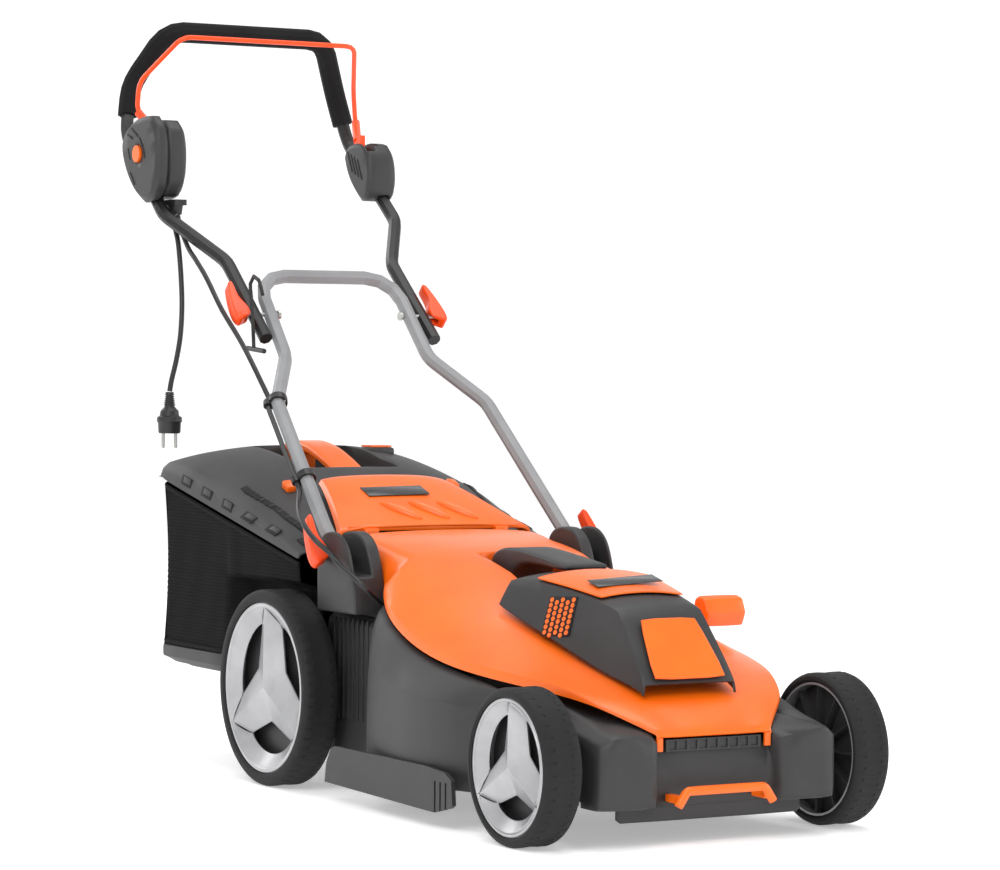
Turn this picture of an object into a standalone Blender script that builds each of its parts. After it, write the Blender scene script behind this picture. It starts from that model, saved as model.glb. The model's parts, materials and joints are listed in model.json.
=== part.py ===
"""Corded rotary lawn mower with a grass box, a folding two-part handle and a central height lever.

Run it with: blender --background --python part.py. Sizes are in metres and Z is up. The mower faces -Y and
its right-hand side is +X. Lengths along the machine are measured back from the front wheels' centre, and an
empty named mower_frame then moves everything so that the origin lies under the middle of the machine.
"""

import math

import bmesh
import bpy
from mathutils import Matrix, Vector

# ---- driving dimensions ------------------------------------------------------------------------------------

GAP = 0.0003  # left between pieces that touch
RUNNING = 0.0005  # radial clearance where a piece turns on another
ORIGIN_BACK = 0.55775  # from the front wheels' centre to the origin

# running gear
OVER_WHEELS = 0.480
WHEELBASE = 0.6415
FRONT_WHEEL_R = 0.092
REAR_WHEEL_R = 0.128
FRONT_RIM_R = FRONT_WHEEL_R - 0.0113
REAR_RIM_R = REAR_WHEEL_R - 0.0165
WHEEL_WIDTH = 0.051
REAR_TRACK_INSET = 0.008  # each rear wheel sits this much further in than a front one
AXLE_R = 0.005
CRANK = 0.038  # from a crank's pivot to its wheel's centre
CRANK_REST = math.radians(20)  # the wheel's centre stands this far above its crank's pivot

# deck and cutter
DECK_WIDTH = 0.456
DECK_BOTTOM = 0.046
LIP_BOTTOM = 0.028
POD_FRONT = -0.090
FACE_FRONT = -0.0665
POD_INNER = 0.086
BODY_HALF = 0.165  # half width of the deck ahead of and behind the blade housing
DECK_REAR = 0.585
CUTTER_Y = 0.250
TUNNEL_R = 0.218
TUNNEL_TOP = 0.130
BLADE_LENGTH = 0.426
BLADE_WIDTH = 0.048
BLADE_Z = 0.056
BLADE_THICK = 0.0035
MOTOR_R = 0.058
MOTOR_TOP = 0.226
SHAFT_R = 0.0075
CHUTE_HALF = 0.112
CHUTE_FLOOR = 0.150
CHUTE_ROOF = 0.282

# covers
WALL = 0.003
COVER_REAR = 0.568
COVER_REAR_HALF = 0.149
HOOD_REAR = 0.240
HOOD_REAR_HALF = 0.110

# handle
TUBE_R = 0.0095
CHANNEL_R = TUBE_R + 0.0009  # bore of whatever is clamped round a tube
FOAM_R = TUBE_R + 0.0055
BAIL_R = 0.0035
LOWER_PIVOT = (0.528, 0.306)  # y, z of the fold at the deck
UPPER_PIVOT = (0.868, 0.616)  # y, z of the fold between the two handle parts
LOWER_FOOT_X = 0.1790
LOWER_TOP_X = 0.1085
UPPER_FOOT_X = 0.1312
BOX_X = 0.1800  # centre of the tube where the switch box clamps it
BOLT_R = 0.003
BRACKET_SLOT = TUBE_R + 0.0020  # half the slot that the lower handle stands in
BRACKET_CHEEK = 0.0045  # the outer cheek

# grass box
BOX_FRONT = 0.602
BOX_REAR = 1.032
RIM_HALF = 0.200
BAG_HALF = 0.197
BAG_NECK_HALF = 0.164
BAG_SHOULDER_Y = 0.790
BAG_WALL = 0.004
BAG_SHELF_Z = 0.2575  # where the bag widens to pass over the rear wheels
BASE_BOTTOM = 0.130
BASE_TOP = 0.156
RIM_FRONT_Z = 0.2975
RIM_REAR_Z = 0.3900

# leads
MOTOR_LEAD_R = 0.0034
PLUG_LEAD_R = 0.0036

# colours, linear
ORANGE = (1.0, 0.190, 0.006, 1.0)
RED_ORANGE = (1.0, 0.105, 0.006, 1.0)
ANTHRACITE = (0.060, 0.060, 0.062, 1.0)
LID_GREY = (0.075, 0.075, 0.077, 1.0)
BLACK = (0.017, 0.017, 0.018, 1.0)
SILVER = (0.560, 0.560, 0.560, 1.0)
STEEL = (0.420, 0.420, 0.420, 1.0)
GREY_PAINT = (0.290, 0.290, 0.295, 1.0)

SIDES = (("left", -1), ("right", 1))


# ---- making shapes -----------------------------------------------------------------------------------------


def clear_scene():
    for obj in list(bpy.data.objects):
        bpy.data.objects.remove(obj, do_unlink=True)


def collection(name, hidden=False):
    made = bpy.data.collections.new(name)
    bpy.context.scene.collection.children.link(made)
    made.hide_render = hidden
    return made


def material(name, colour, roughness, metallic=0.0):
    made = bpy.data.materials.new(name)
    made.use_nodes = True
    shader = made.node_tree.nodes["Principled BSDF"]
    shader.inputs["Base Color"].default_value = colour
    shader.inputs["Roughness"].default_value = roughness
    shader.inputs["Metallic"].default_value = metallic
    made.diffuse_color = colour
    return made


def add(name, data):
    obj = bpy.data.objects.new(name, data)
    PARTS.objects.link(obj)
    obj.parent = FRAME
    return obj


def mesh_object(name, bm):
    bmesh.ops.recalc_face_normals(bm, faces=bm.faces)
    mesh = bpy.data.meshes.new(name)
    bm.to_mesh(mesh)
    bm.free()
    return add(name, mesh)


def finish(obj, finish_of, smooth=None):
    """Gives a piece its material and, where it is round, smooth shading up to the given angle."""
    obj.data.materials.append(finish_of)
    if smooth is not None:
        obj.data.shade_smooth()
        obj.data.set_sharp_from_angle(angle=math.radians(smooth))
    return obj


def box(name, low, high):
    bm = bmesh.new()
    bmesh.ops.create_cube(bm, size=1.0)
    size = Vector(high) - Vector(low)
    bmesh.ops.scale(bm, vec=size, verts=bm.verts)
    bmesh.ops.translate(bm, vec=Vector(low) + size / 2, verts=bm.verts)
    return mesh_object(name, bm)


def rod(name, start, end, radius, sides=16, end_radius=None):
    """A cylinder, or a cone, between two points."""
    start = Vector(start)
    along = Vector(end) - start
    bm = bmesh.new()
    bmesh.ops.create_cone(
        bm,
        cap_ends=True,
        segments=sides,
        radius1=radius,
        radius2=radius if end_radius is None else end_radius,
        depth=along.length,
    )
    turn = along.to_track_quat("Z", "Y").to_matrix().to_4x4()
    bmesh.ops.transform(bm, matrix=Matrix.Translation(start + along / 2) @ turn, verts=bm.verts)
    return mesh_object(name, bm)


def plate(name, outline, x_from, x_to):
    """A flat outline of (y, z) points, made thick along X."""
    bm = bmesh.new()
    face = bm.faces.new([bm.verts.new((x_from, y, z)) for y, z in outline])
    grown = bmesh.ops.extrude_face_region(bm, geom=[face])
    moved = [v for v in grown["geom"] if isinstance(v, bmesh.types.BMVert)]
    bmesh.ops.translate(bm, vec=(x_to - x_from, 0, 0), verts=moved)
    return mesh_object(name, bm)


def rings(name, stack):
    """A closed solid through rings of points, each with as many points, and with flat end rings."""
    bm = bmesh.new()
    made = [[bm.verts.new(p) for p in ring] for ring in stack]
    count = len(made[0])
    for low, high in zip(made, made[1:]):
        for i in range(count):
            j = (i + 1) % count
            bm.faces.new((low[i], low[j], high[j], high[i]))
    bm.faces.new(made[0])
    bm.faces.new(made[-1])
    return mesh_object(name, bm)


def shell(name, half_rows, thickness=WALL):
    """A moulded cover: rows of points from the middle out, mirrored at X = 0 and thickened inwards."""
    bm = bmesh.new()
    rows = []
    for row in half_rows:
        mirrored = [(-x, y, z) for x, y, z in reversed(row) if x > 0]
        rows.append([bm.verts.new(p) for p in mirrored + list(row)])
    for first, second in zip(rows, rows[1:]):
        for i in range(len(first) - 1):
            bm.faces.new((first[i], second[i], second[i + 1], first[i + 1]))
    obj = mesh_object(name, bm)
    if sum(p.normal.z for p in obj.data.polygons) < 0:
        obj.data.flip_normals()
    wall = obj.modifiers.new("wall", "SOLIDIFY")
    wall.thickness = thickness
    wall.offset = -1.0
    wall.use_even_offset = True
    return obj


def spline_points(points, step):
    """Points on one smooth curve through the given ones, about a step apart."""
    ends = [points[0] * 2 - points[1]] + points + [points[-1] * 2 - points[-2]]
    made = []
    for a, b, c, d in zip(ends, ends[1:], ends[2:], ends[3:]):
        count = max(1, round((c - b).length / step))
        for i in range(count):
            t = i / count
            made.append(
                (
                    (b * 2)
                    + (c - a) * t
                    + (a * 2 - b * 5 + c * 4 - d) * t * t
                    + (b * 3 - a - c * 3 + d) * t**3
                )
                / 2
            )
    return made + [points[-1]]


def rounded(points, radii, arc=3):
    """The points of a bent tube's middle line: straight runs joined by arcs of the given radii."""
    made = [points[0]]
    for before, corner, after, radius in zip(points, points[1:], points[2:], radii):
        back = (before - corner).normalized()
        on = (after - corner).normalized()
        half = back.angle(on) / 2
        reach = radius / math.tan(half)
        middle = corner + (back + on).normalized() * radius / math.sin(half)
        start = corner + back * reach - middle
        end = corner + on * reach - middle
        swing = start.angle(end)
        for i in range(arc + 1):
            t = i / arc
            turned_arm = start * math.sin((1 - t) * swing) + end * math.sin(t * swing)
            made.append(middle + turned_arm / math.sin(swing))
    return made + [points[-1]]


def tube(name, points, radius, resolution=2):
    """A round bar or lead along the points, with filled ends, kept as a curve."""
    curve = bpy.data.curves.new(name, "CURVE")
    curve.dimensions = "3D"
    curve.bevel_depth = radius
    curve.bevel_resolution = resolution
    curve.use_fill_caps = True
    spline = curve.splines.new("POLY")
    spline.points.add(len(points) - 1)
    for target, point in zip(spline.points, points):
        target.co = (*point, 1.0)
    return add(name, curve)


def as_mesh(obj):
    """A curve made a mesh, so that it can be cut."""
    bpy.context.view_layer.update()
    graph = bpy.context.evaluated_depsgraph_get()
    made = bpy.data.meshes.new_from_object(obj.evaluated_get(graph))
    bm = bmesh.new()
    bm.from_mesh(made)
    bmesh.ops.remove_doubles(bm, verts=bm.verts, dist=0.00001)
    bmesh.ops.recalc_face_normals(bm, faces=bm.faces)
    bm.to_mesh(made)
    bm.free()
    name = obj.name
    bpy.data.objects.remove(obj, do_unlink=True)
    return add(name, made)


def turned(name, profile, steps=32, closed=False):
    """A piece turned about X. The profile holds (radius, x) points and runs down the outer side in X."""
    mesh = bpy.data.meshes.new(name)
    links = [(i, i + 1) for i in range(len(profile) - 1)]
    if closed:
        links.append((len(profile) - 1, 0))
    mesh.from_pydata([(r, 0.0, x) for r, x in profile], links, [])
    obj = add(name, mesh)
    screw = obj.modifiers.new("turn", "SCREW")
    screw.steps = steps
    screw.render_steps = steps
    screw.use_merge_vertices = True
    screw.merge_threshold = 0.00001
    screw.use_smooth_shade = True
    obj.rotation_euler = (0.0, math.radians(90), 0.0)
    return obj


def cutter(obj):
    PARTS.objects.unlink(obj)
    CUTTERS.objects.link(obj)
    obj.hide_render = True
    obj.display_type = "WIRE"
    return obj


def boolean(obj, other, operation):
    step = obj.modifiers.new(operation.lower(), "BOOLEAN")
    step.operation = operation
    step.solver = "EXACT"
    step.object = cutter(other)
    return obj


def cut(obj, *others):
    for other in others:
        boolean(obj, other, "DIFFERENCE")
    return obj


def join(obj, *others):
    for other in others:
        boolean(obj, other, "UNION")
    return obj


def bevelled(obj, width, segments=1, angle=30):
    step = obj.modifiers.new("edges", "BEVEL")
    step.width = width
    step.segments = segments
    step.limit_method = "ANGLE"
    step.angle_limit = math.radians(angle)
    return obj


def pivot_at(obj, point):
    """Puts a moving piece's origin on its joint's axis, and leaves its shape where it is."""
    shift = Vector(point)
    if obj.type == "MESH":
        obj.data.transform(Matrix.Translation(-shift))
    else:
        obj.data.transform(Matrix.Translation(-shift))
    obj.location = shift
    return obj


def blend(low, high, t):
    return low + (high - low) * t


def lerp_table(table, y):
    """Straight-line reading of a table of (y, value) pairs."""
    if y <= table[0][0]:
        return table[0][1]
    for (y0, a), (y1, b) in zip(table, table[1:]):
        if y <= y1:
            return blend(a, b, (y - y0) / (y1 - y0))
    return table[-1][1]


# ---- running gear ------------------------------------------------------------------------------------------


def wheel_centre(end, side):
    """The middle of a wheel, at rest."""
    if end == "front":
        return Vector((side * (OVER_WHEELS - WHEEL_WIDTH) / 2, 0.0, FRONT_WHEEL_R))
    return Vector((side * ((OVER_WHEELS - WHEEL_WIDTH) / 2 - REAR_TRACK_INSET), WHEELBASE, REAR_WHEEL_R))


def crank_pivot(end):
    """y and z of the line that an axle's cranks turn about."""
    centre = wheel_centre(end, 1)
    return centre.y - CRANK * math.cos(CRANK_REST), centre.z - CRANK * math.sin(CRANK_REST)


def make_wheel(end, side_name, side):
    outer = FRONT_WHEEL_R if end == "front" else REAR_WHEEL_R
    seat = FRONT_RIM_R if end == "front" else REAR_RIM_R
    half = WHEEL_WIDTH / 2
    shoulder = 0.004
    centre = wheel_centre(end, side)
    tyre = turned(
        f"tyre_{end}_{side_name}",
        [
            (seat + GAP, half - 0.001),
            (outer - shoulder, half),
            (outer, half - shoulder),
            (outer, shoulder - half),
            (outer - shoulder, -half),
            (seat + GAP, 0.001 - half),
        ],
        steps=28,
        closed=True,
    )
    tyre.location = centre
    tyre.data.materials.append(MATERIALS["rubber"])

    lip = half - 0.002
    web = 0.008
    barrel = 0.009
    hub = 0.018
    rim = turned(
        f"rim_{end}_{side_name}",
        [
            (0.0, lip - 0.006),
            (hub, lip - 0.006),
            (seat - barrel, lip - web),
            (seat - barrel + 0.003, lip),
            (seat, lip),
            (seat, -lip),
            (seat - barrel, lip - web - 0.004),
            (hub, lip - web - 0.004),
            (hub, -half + 0.002),
            (AXLE_R + RUNNING, -half + 0.002),
            (AXLE_R + RUNNING, lip - 0.012),
            (0.0, lip - 0.012),
        ],
        steps=28,
    )
    rim.location = centre
    if side < 0:
        rim.rotation_euler = (0.0, math.radians(-90), 0.0)
    rim.data.materials.append(MATERIALS["silver"])


def make_axle(end):
    """One bent bar: the stubs that the wheels turn on, the two cranks and the bar that pivots in the deck."""
    y, z = crank_pivot(end)
    right = wheel_centre(end, 1)
    inner_face = right.x - WHEEL_WIDTH / 2
    stub_end = right.x + WHEEL_WIDTH / 2 - 0.002 - 0.012 - 0.001
    stub_start = inner_face - 0.006
    pivot_end = stub_start - 0.001
    half = [
        Vector((stub_end, right.y, right.z)),
        Vector((stub_start, right.y, right.z)),
        Vector((pivot_end - AXLE_R * 2, y, z)),
    ]
    points = half + [Vector((-p.x, p.y, p.z)) for p in reversed(half)]
    bend = AXLE_R * 1.6
    bar = tube(f"{end}_axle", rounded(points, [bend] * 4, arc=3), AXLE_R)
    finish(pivot_at(bar, (0.0, y, z)), MATERIALS["steel"])


def make_running_gear():
    for end in ("front", "rear"):
        make_axle(end)
        for side_name, side in SIDES:
            make_wheel(end, side_name, side)


# ---- deck --------------------------------------------------------------------------------------------------

# Half outline of the deck seen from above, from the middle of the front to the middle of the back:
# each point's half width and place, then the height of the crease round it, and how far the shoulder
# above leans in and up.
DECK_OUTLINE = (
    (0.000, FACE_FRONT, 0.106, 0.000, 0.012),
    (POD_INNER - 0.006, FACE_FRONT, 0.106, 0.000, 0.012),
    (POD_INNER, POD_FRONT + 0.006, 0.110, 0.000, 0.010),
    (0.096, POD_FRONT, 0.113, 0.000, 0.011),
    (0.155, POD_FRONT, 0.120, 0.010, 0.010),
    (BODY_HALF, POD_FRONT + 0.010, 0.120, 0.012, 0.010),
    (BODY_HALF, -0.030, 0.132, 0.020, 0.012),
    (BODY_HALF, 0.030, 0.142, 0.012, 0.020),
    (BODY_HALF, 0.100, 0.148, 0.004, 0.020),
    (0.188, 0.108, 0.148, 0.006, 0.022),
    (0.210, 0.138, 0.150, 0.020, 0.028),
    (DECK_WIDTH / 2 - 0.004, 0.190, 0.152, 0.030, 0.034),
    (DECK_WIDTH / 2, 0.250, 0.158, 0.030, 0.038),
    (DECK_WIDTH / 2 - 0.004, 0.310, 0.168, 0.024, 0.045),
    (0.216, 0.360, 0.188, 0.022, 0.046),
    (0.204, 0.404, 0.215, 0.022, 0.038),
    (BODY_HALF + 0.003, 0.416, 0.215, 0.012, 0.012),
    (BODY_HALF, 0.480, 0.222, 0.008, 0.008),
    (BODY_HALF, DECK_REAR, 0.222, 0.008, 0.008),
    (0.000, DECK_REAR, 0.222, 0.000, 0.008),
)
DECK_TOP_Z = 0.150
SHELF_Z = 0.234
REAR_TOP_Z = 0.292


def deck_ring(z_of, lean):
    """The deck's outline at a height, drawn in by a share of each point's lean."""
    half = []
    for x, y, crease, inward, rise in DECK_OUTLINE:
        half.append((max(0.0, x - inward * lean), y, z_of(crease, rise)))
    return half + [(-x, y, z) for x, y, z in reversed(half) if x > 0]


def make_deck():
    deck = rings(
        "deck_housing",
        [
            deck_ring(lambda crease, rise: DECK_BOTTOM, 0.0),
            deck_ring(lambda crease, rise: crease, 0.0),
            deck_ring(lambda crease, rise: crease + rise, 1.0),
            [
                (x * 0.62, 0.25 + (y - 0.25) * 0.70, DECK_TOP_Z)
                for x, y, _ in deck_ring(lambda c, r: 0.0, 1.0)
            ],
        ],
    )
    rear = box("rear_body", (-0.155, 0.360, 0.150), (0.155, DECK_REAR - 0.001, SHELF_Z))
    neck_half = CHUTE_HALF + 0.010
    neck = box("chute_body", (-neck_half, 0.432, 0.200), (neck_half, DECK_REAR - 0.002, REAR_TOP_Z))
    lip = box(
        "front_lip",
        (-0.128, FACE_FRONT + 0.002, LIP_BOTTOM),
        (0.128, FACE_FRONT + 0.012, DECK_BOTTOM + 0.02),
    )
    seat = (0, CUTTER_Y, TUNNEL_TOP + 0.020)
    tray = rod("motor_seat", (0, CUTTER_Y, TUNNEL_TOP - 0.01), seat, MOTOR_R + 0.020, 24)
    join(deck, rear, neck, lip, tray)
    tunnel = rod("tunnel", (0, CUTTER_Y, -0.05), (0, CUTTER_Y, TUNNEL_TOP), TUNNEL_R, 40)
    throat = box("throat", (-CHUTE_HALF, 0.330, 0.090), (CHUTE_HALF, 0.470, 0.215))
    chute = box("chute", (-CHUTE_HALF, 0.442, CHUTE_FLOOR), (CHUTE_HALF, DECK_REAR + 0.05, CHUTE_ROOF))
    shaft = rod("shaft_hole", (0, CUTTER_Y, 0.10), (0, CUTTER_Y, 0.20), SHAFT_R + RUNNING, 16)
    nose = box(
        "nose_hollow",
        (-BODY_HALF + 0.008, POD_FRONT + 0.032, -0.05),
        (BODY_HALF - 0.008, 0.012, 0.100),
    )
    tail = box("tail_hollow", (-0.135, 0.482, -0.05), (0.135, DECK_REAR + 0.05, 0.140))
    cut(deck, tunnel, throat, chute, shaft, nose, tail)
    for side_name, side in SIDES:
        y, z = crank_pivot("rear")
        ends = sorted((side * 0.1385, side * 0.1560))
        lug = box(f"axle_lug_{side_name}", (ends[0], 0.560, z - 0.010), (ends[1], y + 0.013, z + 0.030))
        join(deck, lug)
    for end in ("front", "rear"):
        y, z = crank_pivot(end)
        slot = box(f"{end}_axle_slot", (-0.30, y - 0.0065, -0.05), (0.30, y + 0.0065, z + 0.0065))
        cut(deck, slot)
    pocket_low = (LEVER_X - 0.009, LEVER_PIVOT[0] - 0.050, LEVER_PIVOT[1] - 0.012)
    pocket_high = (LEVER_X + 0.009, LEVER_PIVOT[0] + 0.062, 0.30)
    cut(deck, box("lever_pocket", pocket_low, pocket_high))
    for side_name, side in SIDES:
        ends = sorted((side * 0.110, side * 0.118))
        lug = box(
            f"flap_lug_{side_name}",
            (ends[0], FLAP_PIVOT[0] - 0.018, REAR_TOP_Z - 0.012),
            (ends[1], FLAP_PIVOT[0] + 0.006, FLAP_PIVOT[1] + 0.006),
        )
        join(deck, lug)
    cut(deck, rod("flap_pin_hole", (-0.15, *FLAP_PIVOT), (0.15, *FLAP_PIVOT), FLAP_PIN_R + GAP, 12))
    finish(deck, MATERIALS["anthracite"])


LEVER_X = 0.182
LEVER_PIVOT = (0.262, 0.158)
FLAP_PIVOT = (0.592, 0.3175)
FLAP_PIN_R = 0.0025


def make_comb(side_name, side):
    """The skirt beside the blade housing, with its slits at the front end."""
    low, high = sorted((side * 0.2290, side * 0.2345))
    outline = [
        (0.456, 0.026),
        (0.452, 0.050),
        (0.440, 0.070),
        (0.428, 0.0735),
        (0.200, 0.0735),
        (0.185, 0.0725),
        (0.150, 0.0700),
        (0.134, 0.0620),
        (0.131, 0.0330),
        (0.138, 0.0290),
        (0.176, 0.0200),
    ]
    comb = plate(f"side_comb_{side_name}", outline, low, high)
    for i in range(3):
        y = 0.145 + i * 0.0130
        slit = box(f"comb_slit_{side_name}_{i}", (low - 0.01, y, 0.0), (high + 0.01, y + 0.004, 0.058))
        cut(comb, slit)
    finish(comb, MATERIALS["anthracite"])


def make_front_pieces():
    grille = box("front_grille", (-0.066, FACE_FRONT - 0.0035, 0.1085), (0.066, FACE_FRONT - GAP, 0.1225))
    for i in range(9):
        x = (i - 4) * 0.0142
        slit = box(f"grille_slit_{i}", (x - 0.0052, -0.10, 0.1105), (x + 0.0052, FACE_FRONT - 0.0018, 0.1210))
        cut(grille, slit)
    finish(grille, MATERIALS["anthracite"])

    top, low, front = 0.0715, 0.0480, FACE_FRONT - 0.0300
    corners = [
        Vector((0.066, front, low)),
        Vector((0.054, front, top - 0.006)),
        Vector((-0.054, front, top - 0.006)),
        Vector((-0.066, front, low)),
    ]
    trim = tube("front_trim", rounded(corners, [0.008, 0.008], arc=4), 0.0055)
    trim = as_mesh(trim)
    for side in (-1, 1):
        foot = box(
            f"trim_foot_{side}",
            (min(side * 0.055, side * 0.065), front, 0.0510),
            (max(side * 0.055, side * 0.065), FACE_FRONT - GAP, 0.0600),
        )
        join(trim, foot)
    finish(trim, MATERIALS["orange"])


# ---- cutter ------------------------------------------------------------------------------------------------


def make_cutter():
    seat = TUNNEL_TOP + 0.020 + GAP
    motor = rod("motor_body", (0, CUTTER_Y, seat), (0, CUTTER_Y, MOTOR_TOP), MOTOR_R, 24)
    bore = rod("motor_bore", (0, CUTTER_Y, 0.10), (0, CUTTER_Y, MOTOR_TOP - 0.012), SHAFT_R + RUNNING, 16)
    cut(motor, bore)
    finish(motor, MATERIALS["steel"], 40)

    carrier_low = BLADE_Z + BLADE_THICK + GAP
    shaft = rod(
        "motor_shaft",
        (0, CUTTER_Y, carrier_low + 0.012 + GAP),
        (0, CUTTER_Y, MOTOR_TOP - 0.016),
        SHAFT_R,
        16,
    )
    finish(shaft, MATERIALS["steel"], 40)

    carrier = rod("blade_carrier", (0, CUTTER_Y, carrier_low), (0, CUTTER_Y, carrier_low + 0.012), 0.030, 24)
    for i in range(6):
        angle = math.radians(60 * i)
        vane = box(f"fan_vane_{i}", (0.022, -0.002, carrier_low + 0.001), (0.062, 0.002, carrier_low + 0.026))
        vane.data.transform(Matrix.Rotation(angle, 4, "Z"))
        vane.location = (0, CUTTER_Y, 0)
        join(carrier, vane)
    finish(carrier, MATERIALS["black"])

    half = BLADE_LENGTH / 2
    blade = box(
        "cutting_blade",
        (-half, CUTTER_Y - BLADE_WIDTH / 2, BLADE_Z),
        (half, CUTTER_Y + BLADE_WIDTH / 2, BLADE_Z + BLADE_THICK),
    )
    for side in (-1, 1):
        wing = box(
            f"blade_wing_{side}",
            (min(side * half * 0.72, side * half), CUTTER_Y - side * BLADE_WIDTH * 0.5 - 0.002, BLADE_Z),
            (
                max(side * half * 0.72, side * half),
                CUTTER_Y - side * BLADE_WIDTH * 0.5 + 0.002,
                BLADE_Z + 0.011,
            ),
        )
        join(blade, wing)
    cut(blade, rod("blade_hole", (0, CUTTER_Y, 0.0), (0, CUTTER_Y, 0.1), 0.0055, 16))
    finish(blade, MATERIALS["steel"])

    head = rod("blade_bolt", (0, CUTTER_Y, BLADE_Z - 0.010), (0, CUTTER_Y, BLADE_Z - GAP), 0.011, 6)
    neck = rod("bolt_neck", (0, CUTTER_Y, BLADE_Z - 0.002), (0, CUTTER_Y, BLADE_Z + BLADE_THICK), 0.005, 16)
    finish(join(head, neck), MATERIALS["steel"])


# ---- covers ------------------------------------------------------------------------------------------------

# Main cover by station from the nose to the flap: place, height of its middle, half width and height of the
# shoulder that the hood stands on, and half width and height of its lower edge.
COVER_STATIONS = (
    (-0.0700, 0.1310, 0.050, 0.1300, 0.0790, 0.1285),
    (-0.0560, 0.1440, 0.055, 0.1420, 0.0920, 0.1370),
    (-0.0350, 0.1560, 0.062, 0.1545, 0.1140, 0.1500),
    (-0.0150, 0.1660, 0.068, 0.1650, 0.1330, 0.1610),
    (0.0300, 0.1800, 0.078, 0.1800, 0.1520, 0.1700),
    (0.0800, 0.1950, 0.087, 0.1960, 0.1720, 0.1760),
    (0.1400, 0.2150, 0.097, 0.2160, 0.1890, 0.1830),
    (0.2000, 0.2380, 0.107, 0.2360, 0.1975, 0.1900),
    (0.2600, 0.2700, 0.114, 0.2600, 0.2010, 0.2010),
    (0.3200, 0.2950, 0.120, 0.2780, 0.2010, 0.2200),
    (0.3700, 0.3080, 0.124, 0.2900, 0.1950, 0.2430),
    (0.4150, 0.3170, 0.128, 0.3030, 0.1740, 0.2620),
)
COVER_TAIL = (
    (0.4300, 0.3200, 0.128, 0.3070, COVER_REAR_HALF, 0.2650),
    (0.5000, 0.3300, 0.132, 0.3200, COVER_REAR_HALF, 0.2700),
    (COVER_REAR, 0.3340, 0.134, 0.3290, COVER_REAR_HALF, 0.3080),
)


def cover_row(y, top, shoulder_half, shoulder_z, edge_half, edge_z):
    bulge = 0.004
    return [
        (0.0, y, top),
        (shoulder_half * 0.6, y, blend(top, shoulder_z, 0.25)),
        (shoulder_half, y, shoulder_z),
        (blend(shoulder_half, edge_half, 0.62), y, blend(shoulder_z, edge_z, 0.42) + bulge),
        (edge_half, y, edge_z + (0.012 if y > 0.0 else 0.004)),
        (edge_half + 0.001, y, edge_z),
    ]


def make_main_cover():
    rows = [cover_row(*station) for station in COVER_STATIONS + COVER_TAIL]
    nose = [(x, FACE_FRONT - 0.006, min(z, 0.1300) - 0.004) for x, _, z in rows[0]]
    cover = shell("motor_cover", [nose] + rows)
    for side in (-1, 1):
        tip = box(
            f"nose_tip_{side}",
            (min(side * 0.0710, side * 0.0790), FACE_FRONT - 0.0052, 0.1090),
            (max(side * 0.0710, side * 0.0790), FACE_FRONT - 0.0015, 0.1250),
        )
        join(cover, tip)
    half, front, rear = GRIP_RECESS
    tops = [
        (rear + WALL, cover_top(rear) - 0.0025),
        (0.3200, 0.2925),
        (front - WALL, cover_top(front - WALL) - 0.0025),
    ]
    low = RECESS_FLOOR - WALL
    tray = plate("grip_tray", [(front - WALL, low), (rear + WALL, low)] + tops, -half - WALL, half + WALL)
    recess = box("grip_recess", (-half, front, RECESS_FLOOR), (half, rear, 0.5))
    cut(join(cover, tray), recess)
    slot_low = (LEVER_X - 0.0095, LEVER_PIVOT[0] - 0.044, 0.15)
    slot_high = (LEVER_X + 0.0105, LEVER_PIVOT[0] + 0.060, 0.30)
    cut(cover, box("lever_slot", slot_low, slot_high))
    finish(cover, MATERIALS["orange"])


# Hood by station: place, half width and height at its foot, at its upper edge, and the height of its middle.
HOOD_STATIONS = (
    (-0.0150, 0.0665, 0.1725, 0.0640, 0.1860, 0.1870),
    (0.0060, 0.0700, 0.1800, 0.0615, 0.2150, 0.2170),
    (0.0480, 0.0780, 0.1900, 0.0580, 0.2640, 0.2670),
    (0.0850, 0.0850, 0.2040, 0.0600, 0.2735, 0.2790),
    (0.1400, 0.0940, 0.2240, 0.0700, 0.2830, 0.2930),
    (0.2000, 0.1040, 0.2440, 0.0820, 0.2905, 0.3000),
    (HOOD_REAR, HOOD_REAR_HALF, 0.2600, 0.0930, 0.2890, 0.3000),
)


def hood_row(y, foot_half, foot_z, edge_half, edge_z, top):
    return [
        (0.0, y, top),
        (edge_half * 0.6, y, blend(top, edge_z, 0.35)),
        (edge_half, y, edge_z),
        (foot_half, y, foot_z),
    ]


GRIP_RECESS = (0.045, 0.272, 0.403)


RECESS_FLOOR = 0.2680


def cover_top(y):
    """Height of the cover along its middle."""
    return lerp_table([station[:2] for station in COVER_STATIONS + COVER_TAIL], y)


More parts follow.
